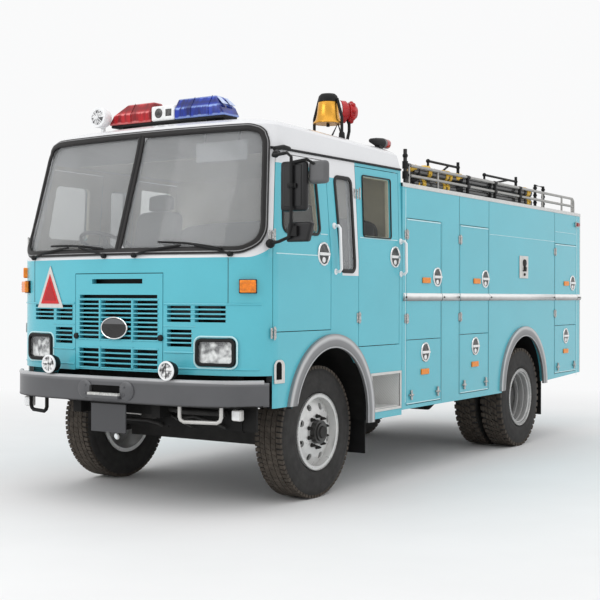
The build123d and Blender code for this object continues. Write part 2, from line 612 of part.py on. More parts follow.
X_HOSE = 1080.0
hoses = []
for z in (2593, 2699):
    h = rod((X_HOSE, 1760, z), (X_HOSE, 4370, z), 51)
    h = h + rod((X_HOSE, 1670, z), (X_HOSE, 1760, z), 45) + rod((X_HOSE, 4370, z), (X_HOSE, 4455, z), 45)
    hoses += both(h)
save("suction_hoses", hoses)

m = box(1340, 1560, -812, -762, 2162, 2518) + box(1540, 1700, -755, -715, 2356, 2512) + box(1400, 1600, -812, -766, 1948, 2088)
m = m + chain([(1120, -610, 2590), (1300, -740, 2600), (1450, -755, 2560), (1450, -755, 1975), (1300, -745, 1960), (1190, -730, 1960)], 12)
m = m + chain([(1450, -755, 2470), (1620, -712, 2470)], 10)
m = m - O_MID - O_LOW
save("mirrors", m)
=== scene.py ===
import math
import bpy
from mathutils import Vector, Matrix
from mathutils.bvhtree import BVHTree


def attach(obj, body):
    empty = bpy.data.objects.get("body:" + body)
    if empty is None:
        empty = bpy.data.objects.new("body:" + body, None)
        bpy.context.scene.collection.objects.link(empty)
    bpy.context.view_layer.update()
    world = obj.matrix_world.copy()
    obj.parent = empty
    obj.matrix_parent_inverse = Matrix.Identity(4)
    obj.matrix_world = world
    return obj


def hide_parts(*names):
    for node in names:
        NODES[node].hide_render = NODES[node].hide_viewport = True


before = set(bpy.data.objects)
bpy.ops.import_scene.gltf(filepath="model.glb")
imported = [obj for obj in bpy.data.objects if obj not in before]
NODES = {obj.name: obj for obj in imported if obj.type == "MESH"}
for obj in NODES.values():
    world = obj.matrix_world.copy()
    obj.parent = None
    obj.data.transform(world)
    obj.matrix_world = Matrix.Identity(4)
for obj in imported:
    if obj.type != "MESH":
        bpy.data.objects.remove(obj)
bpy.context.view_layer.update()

S0 = 2.280                       # shift from the drawing's s to the row's Y
SIDES = (("left", 1), ("right", -1))
AXF, AXR, RT = 0.095, 3.975, 0.516
LOCK = [(1.320, 1.995, 0.632, 1.195, 2.250), (2.400, 3.056, 0.655, 1.215, 2.250),
        (4.880, 5.565, 0.712, 1.250, 2.172)]


def P(x, s, z):
    return Vector((x, s - S0, z))


# ------------------------------------------------------------------ materials
def new_mat(name):
    m = bpy.data.materials.new(name)
    m.use_nodes = True
    nt = m.node_tree
    nt.nodes.clear()
    out = nt.nodes.new("ShaderNodeOutputMaterial")
    return m, nt, out


class G:
    """small helper over a node tree"""

    def __init__(self, nt):
        self.nt = nt
        self.tc = nt.nodes.new("ShaderNodeTexCoord")
        self.xyz = None

    def new(self, kind):
        return self.nt.nodes.new(kind)

    def link(self, a, b):
        self.nt.links.new(a, b)

    def put(self, sock, v):
        if hasattr(v, "is_output"):
            self.link(v, sock)
        else:
            sock.default_value = v

    def coord(self, i):
        if self.xyz is None:
            self.xyz = self.new("ShaderNodeSeparateXYZ")
            self.link(self.tc.outputs["Object"], self.xyz.inputs[0])
        return self.xyz.outputs[i]

    def math(self, op, a, b=0.0, clamp=False):
        n = self.new("ShaderNodeMath")
        n.operation = op
        n.use_clamp = clamp
        self.put(n.inputs[0], a)
        if len(n.inputs) > 1:
            self.put(n.inputs[1], b)
        return n.outputs[0]

    def noise(self, scale, detail=3.0, rough=0.55, stretch=None):
        n = self.new("ShaderNodeTexNoise")
        n.inputs["Scale"].default_value = scale
        n.inputs["Detail"].default_value = detail
        n.inputs["Roughness"].default_value = rough
        if stretch:
            mp = self.new("ShaderNodeMapping")
            mp.inputs["Scale"].default_value = stretch
            self.link(self.tc.outputs["Object"], mp.inputs["Vector"])
            self.link(mp.outputs[0], n.inputs["Vector"])
        else:
            self.link(self.tc.outputs["Object"], n.inputs["Vector"])
        return n.outputs["Fac"]

    def mix(self, fac, a, b):
        n = self.new("ShaderNodeMix")
        n.data_type = "RGBA"
        self.put(n.inputs["Factor"], fac)
        self.put(n.inputs["A"], a)
        self.put(n.inputs["B"], b)
        return n.outputs["Result"]

    def remap(self, v, a, b, c, d):
        n = self.new("ShaderNodeMapRange")
        self.put(n.inputs["Value"], v)
        for k, x in zip(("From Min", "From Max", "To Min", "To Max"), (a, b, c, d)):
            n.inputs[k].default_value = x
        return n.outputs["Result"]

    def bump(self, h, strength, dist):
        n = self.new("ShaderNodeBump")
        n.inputs["Strength"].default_value = strength
        n.inputs["Distance"].default_value = dist
        self.link(h, n.inputs["Height"])
        return n.outputs["Normal"]


def rgba(c):
    return (c[0], c[1], c[2], 1.0)


def shade(g, out, color, rough=0.5, metal=0.0, coat=0.0, normal=None, spec=0.5, emit=None, trans=0.0):
    b = g.new("ShaderNodeBsdfPrincipled")
    g.put(b.inputs["Base Color"], color if hasattr(color, "is_output") else rgba(color))
    g.put(b.inputs["Roughness"], rough)
    g.put(b.inputs["Metallic"], metal)
    b.inputs["Coat Weight"].default_value = coat
    b.inputs["Coat Roughness"].default_value = 0.08
    b.inputs["Specular IOR Level"].default_value = spec
    b.inputs["Transmission Weight"].default_value = trans
    if emit:
        b.inputs["Emission Color"].default_value = rgba(emit[0])
        b.inputs["Emission Strength"].default_value = emit[1]
    if normal is not None:
        g.link(normal, b.inputs["Normal"])
    if out is not None:
        g.link(b.outputs[0], out.inputs["Surface"])
    return b.outputs[0]


def plain(name, color, rough=0.5, metal=0.0, coat=0.0, vary=0.12, scale=9.0, grain=160.0, bump=0.0,
          dist=0.002, spec=0.5, emit=None, trans=0.0, stretch=None):
    m, nt, out = new_mat(name)
    g = G(nt)
    n = g.noise(scale, 4.0, 0.6, stretch)
    f = g.noise(grain, 2.0, 0.6)
    dark = tuple(c * (1.0 - vary) for c in color)
    light = tuple(min(1.0, c * (1.0 + vary * 0.6)) for c in color)
    col = g.mix(g.remap(n, 0.32, 0.68, 0.0, 1.0), rgba(dark), rgba(light))
    r = g.math("ADD", g.remap(f, 0.3, 0.7, -0.05, 0.06), rough)
    nor = g.bump(f, bump, dist) if bump else None
    shade(g, out, col, r, metal, coat, nor, spec, emit, trans)
    return m


TEAL = (0.095, 0.455, 0.545)
WHITE = (0.70, 0.705, 0.72)
CREAM = (0.70, 0.64, 0.50)


def rounded(g, a, b, r):
    """signed distance of a corner: a, b are distances outside two edges, already moved in by r"""
    pa, pb = g.math("MAXIMUM", a, 0.0), g.math("MAXIMUM", b, 0.0)
    ln = g.math("SQRT", g.math("ADD", g.math("MULTIPLY", pa, pa), g.math("MULTIPLY", pb, pb)))
    ins = g.math("MINIMUM", g.math("MAXIMUM", a, b), 0.0)
    return g.math("SUBTRACT", g.math("ADD", ln, ins), r)


def paint(name, zone):
    m, nt, out = new_mat(name)
    g = G(nt)
    n = g.noise(2.2, 4.0, 0.6)
    f = g.noise(420.0, 2.0, 0.5)
    x, y, z = g.coord(0), g.coord(1), g.coord(2)
    s = g.math("ADD", y, S0)
    ax = g.math("ABSOLUTE", x)

    def two(c, v):
        return g.mix(g.remap(n, 0.3, 0.7, 0.0, 1.0), rgba(tuple(k * (1 - v) for k in c)),
                     rgba(tuple(min(1, k * (1 + v)) for k in c)))

    teal, white = two(TEAL, 0.035), two(WHITE, 0.02)
    # road film low on the panels
    film = g.math("MULTIPLY", g.remap(z, 0.55, 1.05, 0.16, 0.0), g.remap(g.noise(6.0, 5.0), 0.35, 0.7, 0.2, 1.0))
    teal = g.mix(g.math("MAXIMUM", film, 0.0), teal, rgba((0.20, 0.36, 0.38)))
    if zone == "teal":
        col = teal
    elif zone == "white":
        col = white
    elif zone == "front":
        a = g.math("SUBTRACT", g.math("ADD", ax, g.math("MULTIPLY", g.math("SUBTRACT", z, 1.892), 0.112)), 1.232 - 0.16)
        b = g.math("SUBTRACT", 1.848 + 0.16, z)
        d = rounded(g, a, b, 0.16)
        top = g.math("SUBTRACT", 2.585, z)
        m1 = g.math("LESS_THAN", g.math("MINIMUM", d, top), 0.0)
        col = g.mix(m1, teal, white)
    else:   # sides and front doors
        m1 = g.math("MULTIPLY", g.math("GREATER_THAN", z, 2.548), g.math("LESS_THAN", s, 0.503))
        # white strip behind the slim window
        line = g.math("SUBTRACT", 0.418, g.math("MULTIPLY", g.math("SUBTRACT", z, 1.775), 0.02))
        m2 = g.math("MULTIPLY", g.math("GREATER_THAN", s, line),
                    g.math("MULTIPLY", g.math("LESS_THAN", s, 0.503), g.math("GREATER_THAN", z, 1.735)))
        m3 = g.math("MULTIPLY", g.math("GREATER_THAN", z, 1.735), g.math("LESS_THAN", z, 1.775))
        m3 = g.math("MULTIPLY", m3, g.math("MULTIPLY", g.math("GREATER_THAN", s, 0.25), g.math("LESS_THAN", s, 0.503)))
        m4 = g.math("MULTIPLY", g.math("GREATER_THAN", z, 2.495),
                    g.math("MULTIPLY", g.math("GREATER_THAN", s, 0.112), g.math("LESS_THAN", s, 0.503)))
        m3 = g.math("MAXIMUM", m3, m4)
        col = g.mix(g.math("MAXIMUM", g.math("MAXIMUM", m1, m2), m3), teal, white)
    if zone in ("front", "side", "door", "crew"):
        # inner faces take the cab lining colour
        nrm = g.new("ShaderNodeSeparateXYZ")
        g.link(g.tc.outputs["Normal"], nrm.inputs[0])
        if zone == "front":
            inn = g.math("GREATER_THAN", nrm.outputs[1], 0.12)
        else:
            inn = g.math("LESS_THAN", g.math("MULTIPLY", nrm.outputs[0], g.math("SIGN", x)), -0.25)
            lowz = g.math("GREATER_THAN", z, 1.18)
            inn = g.math("MULTIPLY", inn, lowz)
        if zone == "crew":
            col = teal
        col = g.mix(inn, col, two(CREAM, 0.04))
        if zone == "side":
            # forward-facing faces low on the cab side, beside the bumper end, near black: painted shade in the gap
            # there
            dark = g.math("MULTIPLY", g.math("LESS_THAN", nrm.outputs[1], -0.6), g.math("LESS_THAN", z, 1.035))
            col = g.mix(dark, col, rgba((0.010, 0.011, 0.012)))
    r = g.math("ADD", g.remap(f, 0.3, 0.7, -0.02, 0.03), 0.26)
    shade(g, out, col, r, 0.0, 0.30, g.bump(f, 0.02, 0.0008), 0.35)
    return m


def glass(name, tint, haze, haze_col, screen=False):
    m, nt, out = new_mat(name)
    g = G(nt)
    tr = g.new("ShaderNodeBsdfTransparent")
    tr.inputs[0].default_value = rgba(tint)
    n = g.noise(1.4, 2.0)
    col = g.mix(g.remap(n, 0.35, 0.65, 0.0, 1.0), rgba(tuple(c * 0.86 for c in haze_col)), rgba(haze_col))
    nor = None
    if screen:
        # smooth normal of the curved windscreen, worked out from the place on it
        x = g.coord(0)
        cube = g.math("MULTIPLY", g.math("MULTIPLY", x, x), x)
        v = g.new("ShaderNodeCombineXYZ")
        g.link(g.math("ADD", g.math("MULTIPLY", x, 0.05), g.math("MULTIPLY", cube, 0.34)), v.inputs[0])
        v.inputs[1].default_value = -1.0
        v.inputs[2].default_value = 0.28
        pick = g.new("ShaderNodeMix")
        pick.data_type = "VECTOR"
        g.link(g.math("LESS_THAN", g.coord(1), -0.2 - S0), pick.inputs["Factor"])
        g.link(g.tc.outputs["Normal"], pick.inputs["A"])
        g.link(v.outputs[0], pick.inputs["B"])
        nz = g.new("ShaderNodeVectorMath")
        nz.operation = "NORMALIZE"
        g.link(pick.outputs["Result"], nz.inputs[0])
        nor = nz.outputs[0]
    film = shade(g, None, col, 0.06, 0.0, 0.0, nor)
    mx = g.new("ShaderNodeMixShader")
    g.put(mx.inputs[0], g.remap(g.noise(3.0, 3.0), 0.3, 0.7, haze * 0.92, haze * 1.08))
    g.link(tr.outputs[0], mx.inputs[1])
    g.link(film, mx.inputs[2])
    g.link(mx.outputs[0], out.inputs["Surface"])
    return m


def radial(name, axle_s, inner, outer, r_dark, rough, metal):
    """wheel: dark hub inside r_dark, bright disc and rim outside; on the rear wheel r_dark reaches past the hub, and
    the dark beyond it is painted shade in the deep disc
    """
    m, nt, out = new_mat(name)
    g = G(nt)
    y = g.math("ADD", g.coord(1), S0 - axle_s)
    z = g.math("SUBTRACT", g.coord(2), RT)
    r = g.math("SQRT", g.math("ADD", g.math("MULTIPLY", y, y), g.math("MULTIPLY", z, z)))
    n = g.noise(14.0, 4.0)
    # patchy darkening that grows towards the hub
    hub_darkening = g.math("MULTIPLY", g.remap(n, 0.35, 0.7, 0.0, 0.35), g.remap(r, 0.10, 0.27, 1.0, 0.35))
    bright = g.mix(hub_darkening, rgba(outer), rgba(tuple(c * 0.55 for c in outer)))
    hub = g.mix(g.remap(n, 0.35, 0.65, 0.0, 1.0), rgba(inner), rgba(tuple(c * 1.7 for c in inner)))
    col = g.mix(g.math("GREATER_THAN", r, r_dark), hub, bright)
    met = g.math("MULTIPLY", g.math("GREATER_THAN", r, r_dark), metal)
    b = g.new("ShaderNodeBsdfPrincipled")
    g.link(col, b.inputs["Base Color"])
    g.link(met, b.inputs["Metallic"])
    g.put(b.inputs["Roughness"], g.remap(n, 0.3, 0.7, rough - 0.06, rough + 0.08))
    g.link(b.outputs[0], out.inputs["Surface"])
    return m


def chequer(name, color, scale, rough=0.35):
    m, nt, out = new_mat(name)
    g = G(nt)
    n = g.noise(6.0, 4.0)
    wx = g.new("ShaderNodeTexWave")
    wx.inputs["Scale"].default_value = scale
    wx.inputs["Distortion"].default_value = 0.0
    wx.bands_direction = "DIAGONAL"
    g.link(g.tc.outputs["Object"], wx.inputs["Vector"])
    mp = g.new("ShaderNodeMapping")
    mp.inputs["Scale"].default_value = (1.0, -1.0, 1.0)
    g.link(g.tc.outputs["Object"], mp.inputs["Vector"])
    wy = g.new("ShaderNodeTexWave")
    wy.inputs["Scale"].default_value = scale
    wy.bands_direction = "DIAGONAL"
    g.link(mp.outputs[0], wy.inputs["Vector"])
    h = g.math("MULTIPLY", wx.outputs["Fac"], wy.outputs["Fac"])
    col = g.mix(g.remap(n, 0.3, 0.7, 0.0, 1.0), rgba(tuple(c * 0.85 for c in color)), rgba(color))
    col = g.mix(g.remap(h, 0.10, 0.55, 0.0, 1.0), rgba(tuple(c * 0.78 for c in color)), col)
    shade(g, out, col, rough, 0.15, 0.0, g.bump(h, 0.5, 0.004))
    return m


M = {}
M["teal"] = paint("teal_body", "teal")
M["white"] = paint("white_roof", "white")
M["front"] = paint("cab_front_paint", "front")
M["side"] = paint("cab_side_paint", "side")
M["door"] = paint("front_door_paint", "door")
M["crew"] = paint("crew_door_paint", "crew")


def painted_light_strip(name):
    """polished half-round strip: painted highlight on the upper flank, painted shade on the lower flank"""
    m, nt, out = new_mat(name)
    g = G(nt)
    n = g.noise(9.0, 3.0)
    v = g.remap(g.coord(2), 1.534, 1.600, 0.0, 1.0)
    v = g.math("ADD", v, g.remap(n, 0.3, 0.7, -0.04, 0.04))
    low = g.mix(g.remap(v, 0.0, 0.42, 0.0, 1.0), rgba((0.20, 0.20, 0.20)), rgba((0.46, 0.455, 0.45)))
    col = g.mix(g.remap(v, 0.42, 0.66, 0.0, 1.0), low, rgba((0.90, 0.90, 0.89)))
    shade(g, out, col, 0.24, 0.35, 0.2)
    return m


def bumper_paint(name):
    """dark grey bumper: painted highlight on the upper edge, painted shade along the lower edge and in the tow opening,
    painted highlight on the top fold of the tow tongue
    """
    m, nt, out = new_mat(name)
    g = G(nt)
    n, f = g.noise(4.0, 4.0), g.noise(260.0, 2.0)
    z, ax = g.coord(2), g.math("ABSOLUTE", g.coord(0))
    s = g.math("ADD", g.coord(1), S0)
    col = g.mix(g.remap(n, 0.3, 0.7, 0.0, 1.0), rgba((0.078, 0.079, 0.084)), rgba((0.090, 0.091, 0.097)))
    # pale band along the upper edge: painted highlight
    col = g.mix(g.remap(z, 0.928, 0.952, 0.0, 0.55), col, rgba((0.26, 0.262, 0.27)))
    # darker towards the lower edge, down to z 0.78: painted shade
    col = g.mix(g.math("MULTIPLY", g.remap(z, 0.800, 0.784, 0.0, 0.5), g.math("GREATER_THAN", z, 0.78)), col, rgba((0.035, 0.035, 0.037)))
    mid = g.math("LESS_THAN", ax, 0.1505)
    # near black in the tow opening: painted shade
    hole_shade = g.math("MULTIPLY", mid, g.math("MULTIPLY", g.math("GREATER_THAN", z, 0.8525), g.math("LESS_THAN", z, 0.902)))
    hole_shade = g.math("MULTIPLY", hole_shade, g.math("LESS_THAN", s, -1.10))
    col = g.mix(hole_shade, col, rgba((0.006, 0.006, 0.006)))
    # pale top fold of the tow tongue: painted highlight
    lip = g.math("MULTIPLY", mid, g.math("MULTIPLY", g.math("LESS_THAN", s, -1.1205), g.math("MULTIPLY", g.math("GREATER_THAN", z, 0.834), g.math("LESS_THAN", z, 0.8535))))
    # darker below z 0.777: painted shade under the lower edge
    col = g.mix(g.math("LESS_THAN", z, 0.777), col, rgba((0.050, 0.051, 0.055)))
    col = g.mix(lip, col, g.mix(g.remap(g.noise(60.0), 0.35, 0.65, 0.0, 1.0), rgba((0.36, 0.36, 0.35)), rgba((0.62, 0.62, 0.60))))
    r = g.math("ADD", g.remap(f, 0.3, 0.7, -0.05, 0.06), 0.40)
    shade(g, out, col, r, 0.0, 0.15, g.bump(f, 0.05, 0.002), 0.4)
    return m



def flare_lit_and_shaded(name):
    """wheel-arch flare: painted highlight on the rolled outer edge, painted shade towards the opening"""
    m, nt, out = new_mat(name)
    g = G(nt)
    n, f = g.noise(5.0, 3.0), g.noise(240.0, 2.0)
    s, z = g.math("ADD", g.coord(1), S0), g.coord(2)
    rear = g.math("GREATER_THAN", s, 2.0)
    ds = g.math("SUBTRACT", s, g.math("ADD", 0.095, g.math("MULTIPLY", rear, 3.880)))
    dz = g.math("MAXIMUM", g.math("SUBTRACT", z, g.math("SUBTRACT", 0.640, g.math("MULTIPLY", rear, 0.010))), 0.0)
    r = g.math("SQRT", g.math("ADD", g.math("MULTIPLY", ds, ds), g.math("MULTIPLY", dz, dz)))
    v = g.math("ADD", g.remap(r, 0.535, 0.637, 0.0, 1.0), g.remap(n, 0.3, 0.7, -0.03, 0.03))
    col = g.mix(g.remap(v, 0.0, 0.45, 0.0, 1.0), rgba((0.15, 0.152, 0.157)), rgba((0.21, 0.212, 0.218)))
    col = g.mix(g.remap(v, 0.52, 0.72, 0.0, 1.0), col, rgba((0.50, 0.505, 0.51)))
    col = g.mix(g.remap(v, 0.82, 0.98, 0.0, 1.0), col, rgba((0.26, 0.263, 0.27)))
    shade(g, out, col, g.math("ADD", g.remap(f, 0.3, 0.7, -0.04, 0.05), 0.36), 0.25, 0.1, g.bump(f, 0.04, 0.002))
    return m


def painted_reflections(name, scale, dark, bright, z0, z1, lift):
    """lamp reflector: painted reflections as broken bright and dark patches, lighter towards the bottom"""
    m, nt, out = new_mat(name)
    g = G(nt)
    n = g.noise(scale, 1.5)
    v = g.math("ADD", n, g.remap(g.coord(2), z0, z1, lift, -lift))
    col = g.mix(g.remap(v, 0.40, 0.60, 0.0, 1.0), rgba(dark), rgba(bright))
    shade(g, out, col, 0.18, 0.2, 0.0, g.bump(n, 0.3, 0.004))
    return m


def lens(name, deep, mid, glint):
    """moulded lamp cover: deep colour with painted highlight bands and a painted shade band across it"""
    m, nt, out = new_mat(name)
    g = G(nt)
    mp = g.new("ShaderNodeMapping")
    mp.inputs["Scale"].default_value = (26.0, 6.0, 5.0)
    g.link(g.tc.outputs["Object"], mp.inputs["Vector"])
    tx = g.new("ShaderNodeTexNoise")
    tx.inputs["Scale"].default_value = 1.0
    tx.inputs["Detail"].default_value = 3.0
    g.link(mp.outputs[0], tx.inputs["Vector"])
    n = tx.outputs["Fac"]
    v = g.math("ADD", g.remap(g.coord(2), 2.958, 3.122, 0.0, 1.0), g.remap(n, 0.3, 0.7, -0.035, 0.035))
    col = g.mix(g.remap(n, 0.36, 0.62, 0.0, 1.0), rgba(deep), rgba(mid))
    def band(c, w):
        return g.remap(g.math("ABSOLUTE", g.math("SUBTRACT", v, c)), w, w * 0.3, 0.0, 1.0)
    col = g.mix(g.math("MULTIPLY", band(0.02, 0.09), 0.75), col, rgba(glint))
    col = g.mix(g.math("MULTIPLY", band(0.49, 0.075), g.remap(n, 0.40, 0.58, 0.15, 0.95)), col, rgba(glint))
    col = g.mix(g.math("MULTIPLY", band(0.72, 0.13), 0.70), col, rgba(deep))
    col = g.mix(g.math("MULTIPLY", band(0.96, 0.06), 0.45), col, rgba(glint))
    shade(g, out, col, 0.08, 0.0, 0.15, None, 0.4)
    return m


def rail_paint(name):
    """grey roof rails, black post at their front end"""
    m, nt, out = new_mat(name)
    g = G(nt)
    n = g.noise(20.0, 3.0)
    col = g.mix(g.remap(n, 0.3, 0.7, 0.0, 1.0), rgba((0.30, 0.296, 0.284)), rgba((0.42, 0.414, 0.396)))
    post = g.math("LESS_THAN", g.math("ADD", g.coord(1), S0), 1.463)
    col = g.mix(post, col, rgba((0.010, 0.010, 0.0105)))
    shade(g, out, col, g.remap(n, 0.3, 0.7, 0.30, 0.40), g.math("SUBTRACT", 0.7, g.math("MULTIPLY", post, 0.7)), 0.0)
    return m


M["rail"] = rail_paint("rail_grey")
# rub strip: painted highlight above, painted shade below
M["strip"] = painted_light_strip("strip_painted_light")
M["flare_roll"] = flare_lit_and_shaded("flare_grey")
M["head_painted_reflections"] = painted_reflections("headlamp_reflector", 15.0, (0.14, 0.14, 0.145), (0.97, 0.97, 0.96), 1.08, 1.25, 0.13)
M["fog_painted_reflections"] = painted_reflections("fog_reflector", 30.0, (0.05, 0.05, 0.055), (0.85, 0.85, 0.85), 0.97, 1.11, 0.03)
M["bar_red"] = lens("light_bar_red", (0.19, 0.001, 0.004), (0.46, 0.004, 0.010), (0.76, 0.20, 0.20))
M["bar_blue"] = lens("light_bar_blue", (0.002, 0.007, 0.11), (0.006, 0.034, 0.37), (0.28, 0.40, 0.80))
M["bumper"] = bumper_paint("bumper_grey")
M["glass"] = glass("tinted_glass", (0.93, 0.94, 0.94), 0.36, (0.50, 0.51, 0.52), True)
M["lampglass"] = glass("lamp_glass", (0.98, 0.985, 0.985), 0.07, (0.80, 0.81, 0.82))
M["side_glass"] = glass("side_glass", (0.90, 0.91, 0.90), 0.22, (0.30, 0.30, 0.295))
M["crew_glass"] = glass("crew_glass", (0.93, 0.94, 0.93), 0.06, (0.4, 0.4, 0.4))
# near black: painted shade in the tow opening and the corner slot
M["hole_shade"] = plain("opening_painted_shade", (0.004, 0.004, 0.004), 0.8, vary=0.4, spec=0.1)
M["visor"] = plain("visor_grey", (0.66, 0.67, 0.70), 0.55, vary=0.10, scale=8, bump=0.03)
M["seal"] = plain("rubber_seal", (0.020, 0.019, 0.019), 0.5, bump=0.05, spec=0.25)
# grey strips on the windscreen seal: painted highlight lines
M["lip"] = plain("seal_highlight_line", (0.24, 0.24, 0.245), 0.32, 0.2, scale=30)
M["black"] = plain("satin_black", (0.007, 0.007, 0.0075), 0.5, vary=0.3, bump=0.04, spec=0.25)
M["frame"] = plain("chassis_black", (0.008, 0.0078, 0.0075), 0.65, vary=0.4, scale=7, bump=0.1, spec=0.2)
M["iron"] = plain("cast_iron_dark", (0.018, 0.017, 0.016), 0.6, vary=0.4, scale=12, bump=0.2, spec=0.3)
M["spring"] = plain("spring_steel", (0.03, 0.029, 0.028), 0.6, vary=0.4, stretch=(2, 0.3, 60))
M["floor"] = plain("rubber_mat", (0.05, 0.05, 0.05), 0.8, vary=0.25, scale=20, bump=0.3)
M["cream"] = plain("cream_lining", CREAM, 0.7, vary=0.06, bump=0.1)
M["seat"] = plain("seat_vinyl", (0.024, 0.024, 0.027), 0.5, vary=0.25, scale=18, grain=320, bump=0.25)
M["dash"] = plain("dash_plastic", (0.10, 0.10, 0.10), 0.6, vary=0.15, grain=400, bump=0.2)
M["locker"] = plain("locker_sheet", (0.50, 0.51, 0.52), 0.4, 0.7, vary=0.12, stretch=(1, 1, 12))
M["flare"] = plain("flare_lip_grey", (0.42, 0.425, 0.435), 0.34, 0.3, vary=0.08, grain=240, bump=0.04)
M["chrome"] = plain("chrome", (0.80, 0.80, 0.80), 0.12, 1.0, vary=0.06, scale=30)
M["steel"] = plain("bright_steel", (0.50, 0.50, 0.49), 0.26, 0.9, vary=0.35, scale=55)
M["dish"] = plain("handle_dish", (0.085, 0.085, 0.085), 0.22, 0.6, vary=0.8, scale=34)
M["reflector_silver"] = plain("lamp_reflector", (0.72, 0.73, 0.74), 0.14, 0.55, vary=0.75, scale=34, grain=70, stretch=(1.0, 1.0, 2.0))
M["angle"] = plain("edge_angle", (0.62, 0.62, 0.61), 0.3, 0.5, vary=0.06, scale=12)
M["wtube"] = plain("white_tube", (0.82, 0.83, 0.84), 0.3, vary=0.04, coat=0.4)
M["ltube"] = plain("light_tube", (0.55, 0.54, 0.52), 0.35, 0.4, vary=0.12)
M["amber"] = plain("amber_lens", (0.86, 0.23, 0.008), 0.18, vary=0.30, scale=40, coat=0.2, spec=0.4)
M["orange"] = plain("orange_reflector", (0.82, 0.25, 0.022), 0.3, vary=0.22, scale=60, spec=0.3)
M["redlens"] = plain("red_lens", (0.36, 0.004, 0.008), 0.12, vary=0.55, scale=20, coat=0.25, spec=0.35, stretch=(2.2, 1, 0.8))
M["bluelens"] = plain("blue_lens", (0.008, 0.030, 0.34), 0.12, vary=0.60, scale=20, coat=0.25, spec=0.35, stretch=(2.2, 1, 0.8))
M["bar_dark_red"] = plain("red_lens_joint", (0.12, 0.002, 0.004), 0.3, vary=0.3, spec=0.3)
M["bar_dark_blue"] = plain("blue_lens_joint", (0.003, 0.008, 0.10), 0.3, vary=0.3, spec=0.3)
# pale blue: painted highlights on the light bar's end
M["pale_blue"] = plain("pale_blue_painted_glint", (0.50, 0.60, 0.88), 0.15, vary=0.3, scale=30, spec=0.4)
M["clear"] = plain("clear_lens", (0.84, 0.85, 0.85), 0.10, vary=0.10, scale=30, coat=0.8)
M["red"] = plain("siren_red", (0.42, 0.006, 0.010), 0.3, vary=0.15, coat=0.2, spec=0.35)
M["tri_red"] = plain("reflective_red", (0.60, 0.020, 0.022), 0.4, vary=0.15, scale=70, spec=0.3)
M["tri_dark"] = plain("reflective_red_dark", (0.42, 0.012, 0.016), 0.4, vary=0.15, scale=70, spec=0.3)
M["tri_edge"] = plain("reflective_edge", (0.62, 0.60, 0.58), 0.4, vary=0.08, scale=70)
M["brass"] = plain("bell_brass", (0.72, 0.36, 0.05), 0.26, 0.85, vary=0.15, scale=10)
M["yellow"] = plain("yellow_coupling", (0.74, 0.46, 0.04), 0.4, 0.25, vary=0.18, scale=16)
M["mirror_shell"] = plain("mirror_shell", (0.010, 0.010, 0.011), 0.38, vary=0.2, grain=300, bump=0.1, spec=0.35)
M["mirror_grey"] = plain("mirror_grey", (0.115, 0.116, 0.12), 0.4, vary=0.08, grain=300, bump=0.05, spec=0.3)
M["mirror"] = plain("mirror_face", (0.75, 0.76, 0.77), 0.04, 1.0, vary=0.03, scale=4)
M["tyre"] = plain("tyre_rubber", (0.036, 0.0345, 0.0335), 0.70, vary=0.25, scale=14, grain=220, bump=0.12, spec=0.2)
M["tread"] = plain("tread_rubber", (0.080, 0.068, 0.057), 0.85, vary=0.35, scale=22, grain=220, bump=0.15, spec=0.15)
M["wheel_f"] = radial("wheel_silver_front", AXF, (0.022, 0.021, 0.020), (0.64, 0.64, 0.63), 0.094, 0.32, 0.40)
# rear wheel: dimmer grey and a dark zone out to r 0.185, painted shade in the deep dual-wheel disc beyond the hub
M["wheel_r"] = radial("wheel_silver_rear", AXR, (0.014, 0.0135, 0.013), (0.34, 0.34, 0.335), 0.185, 0.38, 0.50)
M["rim_silver"] = plain("rim_silver", (0.50, 0.50, 0.495), 0.30, 0.45, vary=0.12, scale=5)
M["chequer"] = chequer("tread_plate", (0.86, 0.855, 0.84), 26.0)
M["deck"] = chequer("deck_plate", (0.42, 0.42, 0.42), 16.0, 0.45)
M["hose"] = plain("hose_rubber", (0.012, 0.0115, 0.0115), 0.28, vary=0.3, stretch=(1, 40, 1), scale=3, bump=0.1, dist=0.002, coat=0.35)
M["seam"] = plain("seam_dark", (0.045, 0.12, 0.135), 0.7, vary=0.2)
# light teal: painted highlights on folds, creases and round the headlamps
M["shine"] = plain("teal_painted_highlight", (0.50, 0.76, 0.80), 0.3, vary=0.06, coat=0.3)
M["badge"] = plain("badge_dark", (0.022, 0.021, 0.021), 0.3, vary=0.2, scale=16, coat=0.1, spec=0.3)
M["plate"] = plain("plate_grey", (0.10, 0.101, 0.106), 0.5, vary=0.06, grain=300, bump=0.04)
M["fog_lens"] = plain("fog_lens", (0.34, 0.35, 0.36), 0.10, vary=0.35, scale=46, coat=0.8)
# pale roll along the bumper's upper edge: painted highlight
M["roll"] = plain("bumper_roll_highlight", (0.40, 0.402, 0.41), 0.26, vary=0.08, scale=6, grain=260, bump=0.04)
M["panel"] = plain("panel_light", (0.62, 0.61, 0.59), 0.4, 0.2, vary=0.08, scale=24)

